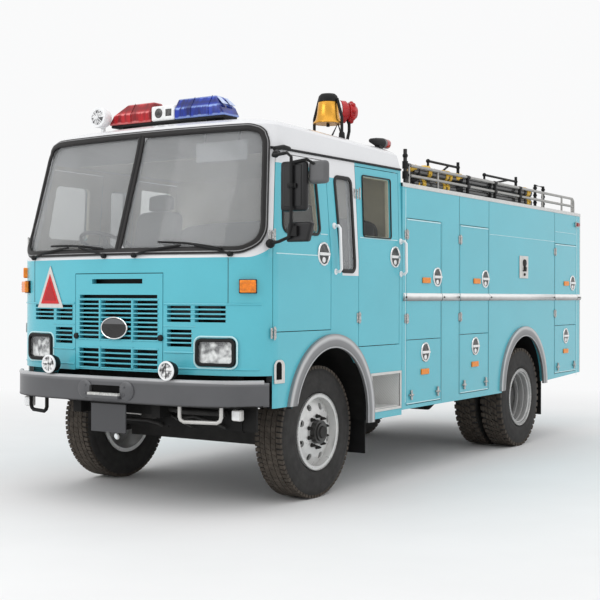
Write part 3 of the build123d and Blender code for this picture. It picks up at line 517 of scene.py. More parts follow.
CAD = {"chassis_frame": "frame", "front_axle": "iron", "rear_axle": "iron", "leaf_springs": "spring",
       "driveline": "iron", "cab_floor": "floor", "step_wells": "chequer", "cab_front": "front",
       "cab_roof": "white", "cab_sides": "side", "cab_rear_wall": "cream", "cab_glass": "glass",
       "dashboard": "dash", "body_sides": "teal", "body_deck": "deck", "body_ends": "teal",
       "locker_boxes": "locker", "front_bumper": "bumper", "arch_flares": "flare_roll", "wheel_housings": "frame",
       "mud_flaps": "black", "roof_rails": "rail", "suction_hoses": "hose", "steering_wheel": "dash",
       "grille_flap": "teal", "knuckle_left": "iron", "knuckle_right": "iron",
       "light_bar": "black", "roof_fittings": "black", "mirrors": "mirror_shell", "lamps": "chrome",
       "cab_seats": "seat"}
for nm, _ in SIDES:
    CAD["tyre_front_" + nm] = CAD["tyres_rear_" + nm] = "tyre"
    CAD["wheel_front_" + nm] = "wheel_f"
    CAD["wheel_rear_" + nm] = "wheel_r"
    CAD["front_door_" + nm] = "door"
    CAD["crew_door_" + nm] = "crew"
    CAD["front_door_glass_" + nm] = "side_glass"
    CAD["crew_door_glass_" + nm] = "crew_glass"
    for k in (1, 2, 3):
        CAD[f"locker_door_{nm}_{k}"] = CAD[f"locker_flap_{nm}_{k}"] = "teal"
for n, key in CAD.items():
    me = NODES[n].data
    me.materials.clear()
    me.materials.append(M[key])


# ------------------------------------------------------------------ mesh building
class Build:
    def __init__(self):
        self.v, self.f = [], []

    def add(self, verts, faces):
        k = len(self.v)
        self.v += [tuple(a) for a in verts]
        self.f += [[i + k for i in q] for q in faces]
        return self

    def box(self, x0, x1, s0, s1, z0, z1):
        p = [P(x, s, z) for z in (min(z0, z1), max(z0, z1)) for s in (min(s0, s1), max(s0, s1))
             for x in (min(x0, x1), max(x0, x1))]
        return self.add(p, [(0, 2, 3, 1), (4, 5, 7, 6), (0, 1, 5, 4), (2, 6, 7, 3), (0, 4, 6, 2), (1, 3, 7, 5)])

    def frame_axes(self, d):
        d = d.normalized()
        a = Vector((0, 0, 1)) if abs(d.z) < 0.9 else Vector((1, 0, 0))
        u = d.cross(a).normalized()
        return u, d.cross(u).normalized()

    def lathe(self, origin, axis, prof, n=32, caps=True):
        """prof: (distance along axis, radius)"""
        o, d = Vector(origin), Vector(axis).normalized()
        u, w = self.frame_axes(d)
        vs, fs = [], []
        for t, r in prof:
            for k in range(n):
                a = 2 * math.pi * k / n
                vs.append(o + d * t + (u * math.cos(a) + w * math.sin(a)) * r)
        m = len(prof)
        for i in range(m - 1):
            for k in range(n):
                j = (k + 1) % n
                fs.append((i * n + k, i * n + j, (i + 1) * n + j, (i + 1) * n + k))
        if caps:
            fs.append(tuple(reversed(range(n))))
            fs.append(tuple((m - 1) * n + k for k in range(n)))
        return self.add(vs, fs)

    def cyl(self, a, b, r, n=20):
        a, b = Vector(a), Vector(b)
        return self.lathe(a, b - a, [(0, r), ((b - a).length, r)], n)

    def ball(self, c, r, n=16):
        pr = [(-r * math.cos(math.pi * i / 10), max(1e-4, r * math.sin(math.pi * i / 10))) for i in range(11)]
        return self.lathe(c, (0, 0, 1), pr, n)

    def tube(self, pts, r, n=12, closed=False):
        pts = [Vector(p) for p in pts]
        m = len(pts)
        vs, fs = [], []
        ref = None
        for i, p in enumerate(pts):
            a = pts[(i - 1) % m] if (closed or i > 0) else p
            b = pts[(i + 1) % m] if (closed or i < m - 1) else p
            d = (b - a).normalized()
            if ref is None:
                ref = self.frame_axes(d)[0]
            u = (ref - d * ref.dot(d)).normalized()
            ref = u
            w = d.cross(u)
            for k in range(n):
                t = 2 * math.pi * k / n
                vs.append(p + (u * math.cos(t) + w * math.sin(t)) * r)
        last = m if closed else m - 1
        for i in range(last):
            for k in range(n):
                j = (k + 1) % n
                i2 = (i + 1) % m
                fs.append((i * n + k, i * n + j, i2 * n + j, i2 * n + k))
        if not closed:
            fs.append(tuple(reversed(range(n))))
            fs.append(tuple((m - 1) * n + k for k in range(n)))
        return self.add(vs, fs)

    def sweep(self, pts, normals, prof, closed=True):
        """prof: (across, out) points of a strip laid on a surface"""
        m, n = len(pts), len(prof)
        vs, fs = [], []
        for i, p in enumerate(pts):
            a = pts[(i - 1) % m] if (closed or i > 0) else p
            b = pts[(i + 1) % m] if (closed or i < m - 1) else p
            t = (b - a).normalized()
            nn = (normals[i] - t * normals[i].dot(t)).normalized()
            c = t.cross(nn)
            for q, h in prof:
                vs.append(p + c * q + nn * h)
        last = m if closed else m - 1
        for i in range(last):
            i2 = (i + 1) % m
            for k in range(n):
                j = (k + 1) % n
                fs.append((i * n + k, i2 * n + k, i2 * n + j, i * n + j))
        if not closed:
            fs.append(tuple(range(n)))
            fs.append(tuple(reversed([(m - 1) * n + k for k in range(n)])))
        return self.add(vs, fs)

    def prism(self, pts, d):
        """flat polygon pushed along d"""
        n = len(pts)
        pts = [Vector(p) for p in pts]
        d = Vector(d)
        vs = pts + [p + d for p in pts]
        fs = [tuple(reversed(range(n))), tuple(range(n, 2 * n))]
        fs += [(i, (i + 1) % n, (i + 1) % n + n, i + n) for i in range(n)]
        return self.add(vs, fs)

    def make(self, name, mat, body="truck", bevel=0.0, seg=2, angle=35.0, slot=None, subsurf=0):
        me = bpy.data.meshes.new(name)
        me.from_pydata(self.v, [], self.f)
        me.validate()
        import bmesh
        bm = bmesh.new()
        bm.from_mesh(me)
        bmesh.ops.recalc_face_normals(bm, faces=bm.faces)
        bm.to_mesh(me)
        bm.free()
        me.polygons.foreach_set("use_smooth", [True] * len(me.polygons))
        me.set_sharp_from_angle(angle=math.radians(angle))
        me.materials.append(M[mat])
        ob = bpy.data.objects.new(name, me)
        bpy.context.collection.objects.link(ob)
        if bevel:
            b = ob.modifiers.new("edge", "BEVEL")
            b.width = bevel
            b.segments = seg
            b.limit_method = "ANGLE"
            b.angle_limit = math.radians(40)
        if subsurf:
            k = ob.modifiers.new("smooth", "SUBSURF")
            k.levels = k.render_levels = subsurf
        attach(ob, body)
        return ob


def rounded_loop(pts, r, n=8):
    """closed 2-D polygon with rounded corners, r a number or one per corner"""
    out = []
    m = len(pts)
    for i, p in enumerate(pts):
        rr = r[i] if isinstance(r, (list, tuple)) else r
        p = Vector(p)
        a, b = Vector(pts[i - 1]) - p, Vector(pts[(i + 1) % m]) - p
        ang = a.angle(b)
        t = rr / math.tan(ang / 2)
        a.normalize()
        b.normalize()
        c = p + (a + b).normalized() * (rr / math.sin(ang / 2))
        p0, p1 = p + a * t, p + b * t
        v0, v1 = p0 - c, p1 - c
        full = v0.angle(v1)
        sgn = 1 if v0.x * v1.y - v0.y * v1.x > 0 else -1
        for k in range(n + 1):
            th = sgn * full * k / n
            out.append(c + Vector((v0.x * math.cos(th) - v0.y * math.sin(th),
                                   v0.x * math.sin(th) + v0.y * math.cos(th))))
    return out


def resample(loop, step):
    out = []
    m = len(loop)
    for i in range(m):
        a, b = loop[i], loop[(i + 1) % m]
        k = max(1, int(math.ceil((b - a).length / step)))
        out += [a + (b - a) * (j / k) for j in range(k)]
    return out


def tree(*names):
    vs, fs = [], []
    for n in names:
        me = NODES[n].data
        k = len(vs)
        vs += [v.co.copy() for v in me.vertices]
        fs += [[i + k for i in p.vertices] for p in me.polygons]
    return BVHTree.FromPolygons(vs, fs)


T_FRONT = tree("cab_front", "cab_glass", "grille_flap")
T_SIDE = tree("cab_sides", "front_door_left", "crew_door_left", "front_door_glass_left", "crew_door_glass_left",
              "cab_glass", "cab_front", "cab_roof")
T_ROOF = tree("cab_roof", "cab_front")


def on_front(x, z):
    # below the belt the front is upright, so the plain band under the windscreen gives its place
    h = T_FRONT.ray_cast(Vector((x, -6.0, 1.62 if z < 1.85 else z)), Vector((0, 1, 0)))
    if h[0] is None:
        return (None, None)
    return (Vector((h[0].x, h[0].y, z)), h[1])


def on_side(s, z):
    h = T_SIDE.ray_cast(P(4.0, s, z), Vector((-1, 0, 0)))
    return (h[0], h[1]) if h[0] is not None else (None, None)


def on_roof(x, s):
    h = T_ROOF.ray_cast(P(x, s, 6.0), Vector((0, 0, -1)))
    return h[0].z


def flip(v):
    return Vector((-v.x, v.y, v.z))


def strip(w, h):
    return [(-w / 2, -0.004), (-w / 2, h * 0.6), (-w * 0.3, h), (w * 0.3, h), (w / 2, h * 0.6), (w / 2, -0.004)]


# ------------------------------------------------------------------ windscreen
loop = rounded_loop([(-1.172, 1.898), (1.172, 1.898), (1.069, 2.810), (-1.069, 2.810)], [0.150, 0.150, 0.150, 0.150], 10)
loop = resample(loop, 0.03)
pp, nn = [], []
tsm, tgl = tree("cab_front"), tree("cab_glass")
for q in loop:
    h = tsm.ray_cast(Vector((q.x, -6.0, q.y)), Vector((0, 1, 0)))
    v = tgl.ray_cast(Vector((q.x, -6.0, q.y)), Vector((0, 1, 0)))
    if h[0] is not None and (v[0] is None or h[0].y < v[0].y):
        pp.append(h[0])
        nn.append(h[1])
    elif v[0] is not None:
        pp.append(v[0] + v[1] * 0.0145)
        nn.append(v[1])
# the pane edge lies behind the skin, so smooth the picked points
for _ in range(3):
    nn = [(nn[i - 1] + nn[i] * 2 + nn[(i + 1) % len(nn)]).normalized() for i in range(len(nn))]
for _ in range(4):
    ys = [p.y for p in pp]
    pp = [Vector((p.x, min(p.y, (ys[i - 1] + 2 * ys[i] + ys[(i + 1) % len(ys)]) / 4), p.z)) for i, p in enumerate(pp)]
Build().sweep(pp, nn, strip(0.054, 0.020)).make("windscreen_seal", "seal", slot="black_rubber")
# two grey strips along the seal: painted highlight lines on the rubber
Build().sweep([p + n * 0.017 for p, n in zip(pp, nn)], nn,
              [(0.009, -0.003), (0.009, 0.004), (0.015, 0.004), (0.015, -0.003)]).make("windscreen_highlight_line", "lip")
Build().sweep([p + n * 0.003 for p, n in zip(pp, nn)], nn,
              [(0.021, -0.004), (0.021, 0.007), (0.030, 0.005), (0.030, -0.004)]).make("windscreen_outer_highlight_line", "lip")
div_p, div_n = [], []
for k in range(24):
    z = 1.905 + (2.80 - 1.905) * k / 23
    h = tsm.ray_cast(Vector((0.0, -6.0, z)), Vector((0, 1, 0)))
    if h[0] is not None:
        div_p.append(h[0])
        div_n.append(h[1])
Build().sweep(div_p, div_n, strip(0.058, 0.018), closed=False).make("windscreen_divider", "seal", slot="black_rubber")
Build().sweep([p + n * 0.016 for p, n in zip(div_p, div_n)], div_n, strip(0.018, 0.006), closed=False).make(
    "windscreen_divider_rib", "black")

# ------------------------------------------------------------------ side windows
WIN = {"front_door": ([(-0.560, 2.045), (-0.066, 2.045), (-0.084, 2.502), (-0.500, 2.502)], 0.055, 0.022),
       "crew_door": ([(0.598, 2.062), (1.046, 2.062), (1.052, 2.548), (0.612, 2.548)], 0.022, 0.010),
       "slim": ([(0.232, 1.775), (0.432, 1.775), (0.424, 2.500), (0.196, 2.500)], 0.045, 0.030)}
for key, (poly, r, w) in WIN.items():
    grow = 0.006
    cx, cz = sum(p[0] for p in poly) / 4, sum(p[1] for p in poly) / 4
    big = [(a + math.copysign(grow, a - cx), b + math.copysign(grow, b - cz)) for a, b in poly]
    lp = resample(rounded_loop(big, r, 8), 0.04)
    src = tree("cab_sides") if key == "slim" else tree(key + "_left")
    a, b = [], []
    for q in lp:
        h = src.ray_cast(P(4.0, q.x, q.y), Vector((-1, 0, 0)))
        if h[0] is not None and h[0].x > 1.05:
            a.append(h[0])
            b.append(h[1])
    for nm, sx in SIDES:
        aa = a if sx > 0 else [flip(p) for p in a]
        bb = b if sx > 0 else [flip(p) for p in b]
        body = "truck" if key == "slim" else f"{key}_{nm}"
        Build().sweep(aa, bb, strip(w, 0.010)).make(f"{key}_seal_{nm}", "seal", body, slot="black_rubber")
        if key != "slim":
            # cream reveal round the inside of the opening
            cc = [p - n * 0.030 for p, n in zip(aa, bb)]
            Build().sweep(cc, bb, [(-0.010, -0.016), (-0.010, 0.016), (0.010, 0.016), (0.010, -0.016)]).make(
                f"{key}_reveal_{nm}", "cream", body)


# ------------------------------------------------------------------ small side fittings
def oval_handle(bld_ring, bld_dish, bld_bar, x, s, z, sx, a=0.076, b=0.080):
    n = 28
    ring = []
    for k in range(n):
        t = 2 * math.pi * k / n
        ring.append(P(sx * (x + 0.004), s + a * math.cos(t), z + b * math.sin(t)))
    bld_ring.tube(ring, 0.0085, 8, True)
    dish = [P(sx * (x + 0.002), s + a * math.cos(2 * math.pi * k / n), z + b * math.sin(2 * math.pi * k / n)) for k in range(n)]
    bld_dish.prism(dish, (sx * 0.003, 0, 0))
    bld_bar.box(sx * (x + 0.004), sx * (x + 0.020), s - a * 0.96, s + a * 0.96, z - 0.012, z + 0.012)
    bld_bar.lathe(P(sx * (x + 0.002), s, z - 0.045), (sx, 0, 0), [(0, 0.024), (0.007, 0.022), (0.009, 0.010)], 14)


def hinge(b, d, x, s, z, sx, h=0.085, w=0.060):
    """upright hinge on the axis at s: b takes the fixed leaf and barrel, d the leaf on the door"""
    b.box(sx * x, sx * (x + 0.006), s - w / 2, s - 0.009, z - h / 2, z + h / 2)
    d.box(sx * x, sx * (x + 0.006), s + 0.0095, s + w / 2, z - h / 2, z + h / 2)
    b.cyl(P(sx * 1.234, s, z - h * 0.62), P(sx * 1.234, s, z + h * 0.62), 0.0072, 12)
    for k, q in ((b, -1), (d, 1)):
        for e in (-1, 1):
            k.ball(P(sx * (x + 0.007), s + q * w * 0.34, z + e * h * 0.28), 0.0065, 8)


def fastener(b, x, s, z, sx, h=0.085, w=0.060):
    b.cyl(P(sx * (x + 0.010), s - w * 0.65, z), P(sx * (x + 0.010), s + w * 0.65, z), 0.009, 12)
    b.cyl(P(sx * (x + 0.012), s, z - h * 0.5), P(sx * (x + 0.012), s, z + h * 0.5), 0.010, 12)
    b.ball(P(sx * (x + 0.014), s, z), 0.016, 12)


def half_round(b, sx, s0, s1, z0, z1, d, t0=0.0, t1=0.0):
    """half-round strip; t0 and t1 are the lengths of its sloped ends"""
    zc, h = (z0 + z1) / 2, (z1 - z0) / 2
    cuts = [(s0, 0.005 if t0 else d)] + ([(s0 + t0, d)] if t0 else []) + ([(s1 - t1, d)] if t1 else []) + [(s1, 0.005 if t1 else d)]
    vs, fs = [], []
    for s, dd in cuts:
        vs += [P(sx * (XB - 0.002), s, z0), P(sx * (XB + 0.004), s, z0)]
        for k in range(13):
            a = math.pi * (k / 12 - 0.5)
            vs.append(P(sx * (XB + 0.004 + (dd - 0.004) * math.cos(a)), s, zc + h * math.sin(a) * 0.96))
        vs += [P(sx * (XB + 0.004), s, z1), P(sx * (XB - 0.002), s, z1)]
    n = 17
    fs = [tuple(reversed(range(n))), tuple(range((len(cuts) - 1) * n, len(cuts) * n))]
    for r in range(len(cuts) - 1):
        for k in range(n):
            j = (k + 1) % n
            fs.append((r * n + k, r * n + j, (r + 1) * n + j, (r + 1) * n + k))
    b.add(vs, fs)


def reflector(b, x, s, z, sx, w=0.150, h=0.050):
    b.box(sx * x, sx * (x + 0.012), s - w / 2, s + w / 2, z - h / 2, z + h / 2)


XB = 1.226
HANDLE_U = [(1.917, 1.748), (2.976, 1.745), (5.440, 1.732)]
REFL_U = [(1.697, 1.715), (2.776, 1.721), (5.235, 1.724)]
HANDLE_L = [(1.682, 1.079), (2.746, 1.096), (5.222, 1.128)]
REFL_L = [(1.673, 0.907), (2.736, 0.923), (5.222, 0.955)]
STRIP_Z0, STRIP_Z1 = 1.532, 1.601
for nm, sx in SIDES:
    for i, (s0, s1, z0, zm, z1) in enumerate(LOCK):
        up, lo = f"locker_door_{nm}_{i + 1}", f"locker_flap_{nm}_{i + 1}"
        for body, (hs, hz), (rs, rz), tag in ((up, HANDLE_U[i], REFL_U[i], "door"), (lo, HANDLE_L[i], REFL_L[i], "flap")):
            a, b, c, d = Build(), Build(), Build(), Build()
            oval_handle(a, b, c, XB, hs, hz, sx)
            reflector(d, XB, rs, rz, sx)
            a.make(f"handle_ring_{tag}_{nm}_{i + 1}", "chrome", body)
            b.make(f"handle_dish_{tag}_{nm}_{i + 1}", "dish", body)
            c.make(f"handle_bar_{tag}_{nm}_{i + 1}", "chrome", body, bevel=0.003)
            d.make(f"reflector_{tag}_{nm}_{i + 1}", "orange", body, bevel=0.004)
        h, d = Build(), Build()
        for z in ((2.105, 1.380) if i < 2 else (2.075, 1.385)):
            hinge(h, d, XB, s0 + 0.003, z, sx, 0.074, 0.076)
        h.make(f"door_hinges_{nm}_{i + 1}", "steel", "truck", bevel=0.0012)
        d.make(f"door_hinge_leaves_{nm}_{i + 1}", "steel", up, bevel=0.0012)
        h = Build()
        for s in (s0 + 0.085, s1 - 0.075):
            fastener(h, XB, s, z0 + 0.085 if i < 2 else z0 + 0.075, sx)
        h.make(f"flap_fasteners_{nm}_{i + 1}", "steel", lo, bevel=0.0015)
        # painted highlight along the folded upper edge of the door and lower edge of the flap
        Build().box(sx * XB, sx * (XB + 0.004), s0 + 0.012, s1 - 0.012, z1 - 0.018, z1 - 0.008).make(
            f"door_top_fold_{nm}_{i + 1}", "shine", up)
        Build().box(sx * XB, sx * (XB + 0.004), s0 + 0.012, s1 - 0.012, z0 + 0.008, z0 + 0.016).make(
            f"flap_low_fold_{nm}_{i + 1}", "shine", lo)
        # rub strip over the door
        st = Build()
        half_round(st, sx, s0 + 0.009, s1 - 0.008, STRIP_Z0, STRIP_Z1, 0.021, 0.028)
        st.make(f"rub_strip_door_{nm}_{i + 1}", "strip", up)
    # rub strip between the doors, with its bolts
    st, bo = Build(), Build()
    edges = [(1.262, 1.314), (2.001, 2.394), (3.062, 4.874), (5.571, 5.695)]
    for a, b in edges:
        half_round(st, sx, a, b, STRIP_Z0, STRIP_Z1, 0.021, 0.0, 0.0 if b > 5.6 else 0.028)
        for q in ((a + b) / 2,) if b - a < 0.1 else (a + 0.030, b - 0.050):
            bo.ball(P(sx * (XB + 0.017), q, 1.566), 0.011, 10)
    st.make(f"rub_strip_{nm}", "strip")
    bo.make(f"rub_strip_bolts_{nm}", "iron")
    # upper edge angle and panel seams
    Build().box(sx * (XB - 0.030), sx * (XB + 0.006), 1.249, 5.702, 2.512, 2.549).make(f"top_angle_{nm}", "angle", bevel=0.004)
    sm = Build()
    for s in (2.385, 3.066, 4.870):
        sm.box(sx * XB, sx * (XB + 0.0012), s - 0.0025, s + 0.0025, 0.66 if s < 4 else 0.70, 2.512)
    for s in (2.012,):
        sm.box(sx * XB, sx * (XB + 0.0012), s - 0.002, s + 0.002, 0.62, 2.25)
    sm.make(f"panel_seams_{nm}", "seam")
    # light lines along the panel folds: painted highlights
    sh = Build()
    for s in (1.306, 5.580):
        sh.box(sx * XB, sx * (XB + 0.002), s - 0.004, s + 0.004, 0.66, 2.50)
    sh.box(sx * XB, sx * (XB + 0.002), 3.09, 4.86, 2.186, 2.190)
    sh.box(sx * XB, sx * (XB + 0.002), 4.90, 5.55, 2.300, 2.304)
    sh.make(f"panel_fold_highlights_{nm}", "shine")
    # control plate in the middle of the body
    Build().box(sx * XB, sx * (XB + 0.012), 3.840, 4.070, 1.765, 2.000).make(f"control_plate_{nm}", "panel", bevel=0.005)
    k = Build()
    k.lathe(P(sx * (XB + 0.012), 3.955, 1.925), (sx, 0, 0), [(0, 0.040), (0.012, 0.038), (0.016, 0.028)], 20)
    k.lathe(P(sx * (XB + 0.012), 3.955, 1.868), (sx, 0, 0), [(0, 0.024), (0.022, 0.020)], 16)
    k.box(sx * (XB + 0.012), sx * (XB + 0.024), 3.915, 3.995, 1.838, 1.850)
    k.lathe(P(sx * (XB + 0.012), 3.955, 1.805), (sx, 0, 0), [(0, 0.016), (0.014, 0.012)], 14)
    k.make(f"control_knobs_{nm}", "iron", bevel=0.001)
    # rear upper marker
    Build().box(sx * XB, sx * (XB + 0.020), 5.515, 5.615, 2.385, 2.440).make(f"rear_marker_base_{nm}", "steel", bevel=0.006)
    Build().box(sx * (XB + 0.018), sx * (XB + 0.034), 5.530, 5.612, 2.392, 2.433).make(f"rear_marker_lens_{nm}", "redlens", bevel=0.008)

    # cab doors: handles, hinges, grab rails, painted highlight lines along the creases
    for body, s, z in ((f"front_door_{nm}", -0.030, 1.894), (f"crew_door_{nm}", 1.115, 1.905)):
        h = on_side(s, z)[0]
        x = h.x if h else XB
        a, b, c = Build(), Build(), Build()
        oval_handle(a, b, c, x, s, z, sx, 0.078, 0.084)
        tag = body
        a.make(f"handle_ring_{tag}", "chrome", body)
        b.make(f"handle_dish_{tag}", "dish", body)
        c.make(f"handle_bar_{tag}", "chrome", body, bevel=0.003)
    h = Build()
    for key, s, zz in (("front_door", -0.707, (2.005, 1.305)), ("crew_door", 0.504, (2.395, 1.400))):
        d = Build()
        for z in zz:
            q = on_side(s + 0.025, z)[0]
            hinge(h, d, (q.x if q else XB) - 0.001, s, z, sx, 0.078, 0.066)
        d.make(f"{key}_hinge_leaves_{nm}", "steel", f"{key}_{nm}", bevel=0.0012)
    h.make(f"cab_door_hinges_{nm}", "steel", "truck", bevel=0.0012)
    for s, z0, z1, tag in ((0.150, 1.762, 2.118, "b_post"), (1.222, 1.762, 2.040, "c_post")):
        q = on_side(s, (z0 + z1) / 2)[0]
        x = (q.x if q else XB)
        xt = (on_side(s, z1)[0] or Vector((x, 0, 0))).x
        b = Build()
        b.tube([P(sx * (x - 0.004), s, z0), P(sx * (x + 0.040), s, z0), P(sx * (x + 0.055), s, z0 + 0.018),
                P(sx * (xt + 0.055), s, z1 - 0.018), P(sx * (xt + 0.040), s, z1), P(sx * (xt - 0.004), s, z1)], 0.0125, 12)
        for z, xx in ((z0, x), (z1, xt)):
            b.lathe(P(sx * (xx - 0.002), s, z), (sx, 0, 0), [(0, 0.026), (0.010, 0.024), (0.014, 0.016)], 16)
        b.make(f"grab_rail_{tag}_{nm}", "wtube", "truck", slot="white_paint")
    # light lines along the door creases: painted highlights
    for key, s0, s1, zz in (("front_door", -0.690, 0.066, (2.045, 1.880)), ("crew_door", 0.520, 1.182, (2.046,))):
        b = Build()
        for z in zz:
            a0 = -0.052 if (key == "front_door" and z > 2.0) else s0 + 0.02
            e = -0.10 if (key == "front_door" and z < 1.9) else s1
            q0, q1 = on_side(a0, z)[0], on_side(e - 0.02, z)[0]
            if q0 and q1:
                pts = [Vector((sx * q0.x, q0.y, q0.z)), Vector((sx * q1.x, q1.y, q1.z))]
                b.tube(pts, 0.0045, 6)
        b.make(f"{key}_crease_{nm}", "shine", f"{key}_{nm}")
    # gutter
    gp = []
    for k in range(40):
        s = -0.590 + (1.236 + 0.590) * k / 39
        q = on_side(s, 2.648)[0]
        if q:
            gp.append(Vector((sx * (q.x + 0.004), q.y, 2.655)))
    Build().tube(gp, 0.010, 8).make(f"roof_gutter_{nm}", "black")
    # cream slot frame low on the cab corner
    fr = Build()
    lp = rounded_loop([(-0.704, 0.942), (-0.574, 0.942), (-0.574, 1.112), (-0.704, 1.112)], [0.008, 0.008, 0.050, 0.050], 6)
    fr.prism([P(sx * 1.2255, q.x, q.y) for q in lp], (sx * 0.010, 0, 0))
    fr.make(f"slot_frame_{nm}", "panel", bevel=0.003)
    # near black prism in the slot: painted shade of its recess
    lp = rounded_loop([(-0.686, 0.970), (-0.618, 0.970), (-0.618, 1.098), (-0.686, 1.098)], [0.006, 0.006, 0.030, 0.030], 6)
    Build().prism([P(sx * 1.2356, q.x, q.y) for q in lp], (sx * 0.0012, 0, 0)).make(f"slot_painted_shade_{nm}", "hole_shade")
    # step frame
    fr = Build()
    for a, b, c, d in ((0.700, 1.228, 0.618, 0.640), (0.700, 1.228, 0.918, 0.940), (0.700, 0.722, 0.640, 0.918), (1.205, 1.228, 0.640, 0.918)):
        fr.box(sx * (XB - 0.010), sx * (XB + 0.008), a, b, c, d)
    fr.make(f"step_frame_{nm}", "panel", bevel=0.003)
    ln = Build()
    ln.box(sx * 0.960, sx * (XB - 0.004), 1.196, 1.2015, 0.645, 0.917)
    ln.box(sx * 0.958, sx * 0.964, 0.722, 1.198, 0.648, 0.917)
    ln.box(sx * 0.960, sx * (XB - 0.004), 0.722, 1.198, 0.6415, 0.647)
    ln.make(f"step_liner_{nm}", "chequer", slot="tread_plate")
    # flare lip
    for cs, cz, ri, ro, zf, zr in ((0.095, 0.640, 0.535, 0.640, 0.767, 0.545), (3.975, 0.630, 0.530, 0.630, 0.625, 0.648)):
        pts = []
        for k in range(49):
            t = math.pi * k / 48
            s, z = cs - (ri + 0.004) * math.cos(t), cz + (ri + 0.004) * math.sin(t)
            if s < cs and z < zf:
                continue
            pts.append(P(sx * 1.2475, s, z))
        pts.append(P(sx * 1.2475, cs + ri + 0.004, zr + 0.004))
        Build().tube(pts, 0.006, 8).make(f"flare_lip_{'front' if cs < 1 else 'rear'}_{nm}", "flare")

for n in ("arch_flares",):
    b = NODES[n].modifiers.new("edge", "BEVEL")
    b.width = 0.014
    b.segments = 3
    b.limit_method = "ANGLE"
    b.angle_limit = math.radians(50)
b = NODES["front_bumper"].modifiers.new("edge", "BEVEL")
b.width = 0.016
b.segments = 3
b.limit_method = "ANGLE"
b.angle_limit = math.radians(50)

# ------------------------------------------------------------------ front
def front_patch(bld, pts2, lift, thick):
    """flat-ish polygon laid on the front face"""
    base = []
    for x, z in pts2:
        q, n = on_front(x, z)
        base.append(q + Vector((0, -lift, 0)))
    bld.prism(base, (0, -thick, 0))


rad = Build().box(-0.425, 0.425, -0.925, -0.915, 1.015, 1.725)
for sx in (-1, 1):
    rad.box(sx * 0.46, sx * 0.69, -0.885, -0.875, 1.19, 1.52)
    rad.box(sx * 0.69, sx * 0.955, -0.842, -0.832, 1.36, 1.52)
rad.make("radiator_screen", "black")

# ribs of the grille flap
ribs = Build()
rows = [1524 - 33.5 * k for k in range(9)] + [1158 - 38 * k for k in range(4)]
edges = [1543] + [0.5 * (rows[k] + rows[k + 1]) for k in range(8)] + [1239] + \
        [1177] + [0.5 * (rows[9 + k] + rows[10 + k]) for k in range(3)] + [1025]
for z in edges:
    for a, b in ((-0.394, -0.166), (-0.156, 0.156), (0.166, 0.394)):
        pts = [on_front(a + (b - a) * k / 6, 1.62)[0] for k in range(7)]
        pts = [Vector((p.x, p.y - 0.001, z / 1000)) for p in pts]
        ribs.tube(pts, 0.0062, 8)
ribs.make("grille_ribs", "teal", "grille_flap", slot="teal_paint")
bars = Build()
for x in (-0.161, 0.161):
    y = on_front(x, 1.62)[0].y
    for z0, z1 in ((1.232, 1.548), (1.030, 1.186)):
        bars.tube([Vector((x, y - 0.002, z0)), Vector((x, y - 0.002, z1))], 0.0105, 8)
bars.make("grille_bars", "teal", "grille_flap", slot="teal_paint")
srib = Build()
for sx in (-1, 1):
    for z, b in [(1.4735 - 0.033 * k, 0.948) for k in range(3)] + [(1.298 - 0.034 * k, 0.678) for k in range(3)]:
        pts = []
        for k in range(9):
            x = sx * (0.468 + (b - 0.468) * k / 8)
            p = on_front(x, 1.60)[0]
            pts.append(Vector((p.x, p.y - 0.001, z)))
        srib.tube(pts, 0.0058, 8)
srib.make("side_vent_ribs", "front", slot="teal_paint")
lt = Build()
for x in (-0.418, 0.418):
    p = on_front(x, 1.60)[0]
    lt.lathe(Vector((x, p.y - 0.001, 1.262)), (0, -1, 0), [(0, 0.024), (0.014, 0.022), (0.020, 0.012)], 18)
lt.make("flap_latches", "black", "grille_flap")
# blank oval badge
n = 48
p0 = on_front(0, 1.60)[0].y - 0.012
ov = [Vector((0.126 * math.cos(2 * math.pi * k / n), p0, 1.329 + 0.080 * math.sin(2 * math.pi * k / n))) for k in range(n)]
Build().prism(ov, (0, -0.014, 0)).make("badge_oval", "badge", "grille_flap", bevel=0.003)
Build().tube([v + Vector((0, -0.012, 0)) for v in ov], 0.0052, 8, True).make("badge_rim", "chrome", "grille_flap")
hi = [Vector((0.108 * math.cos(t), p0 - 0.0148, 1.349 + 0.050 * math.sin(t))) for t in [math.pi * (0.06 + 0.88 * k / 20) for k in range(21)]]
Build().prism(hi, (0, -0.001, 0)).make("badge_shine", "mirror_grey", "grille_flap")

# creases low on the cab front and under the windscreen
for tag, z, r, spans in (("low", 1.045, 0.007, ((0.445, 1.16),)), ("ledge", 1.512, 0.0080, ((0.445, 1.17),)),
                         ("mid", 1.350, 0.0050, ((0.445, 0.70),)), ("foot", 1.160, 0.0085, ((0.445, 0.700),))):
    b = Build()
    for sx in (-1, 1):
        for x0, x1 in spans:
            pts = []
            for k in range(25):
                q = on_front(sx * (x0 + (x1 - x0) * k / 24), z)[0]
                if q:
                    pts.append(q)
            b.tube(pts, r, 8)
    b.make(f"front_crease_{tag}", "front")

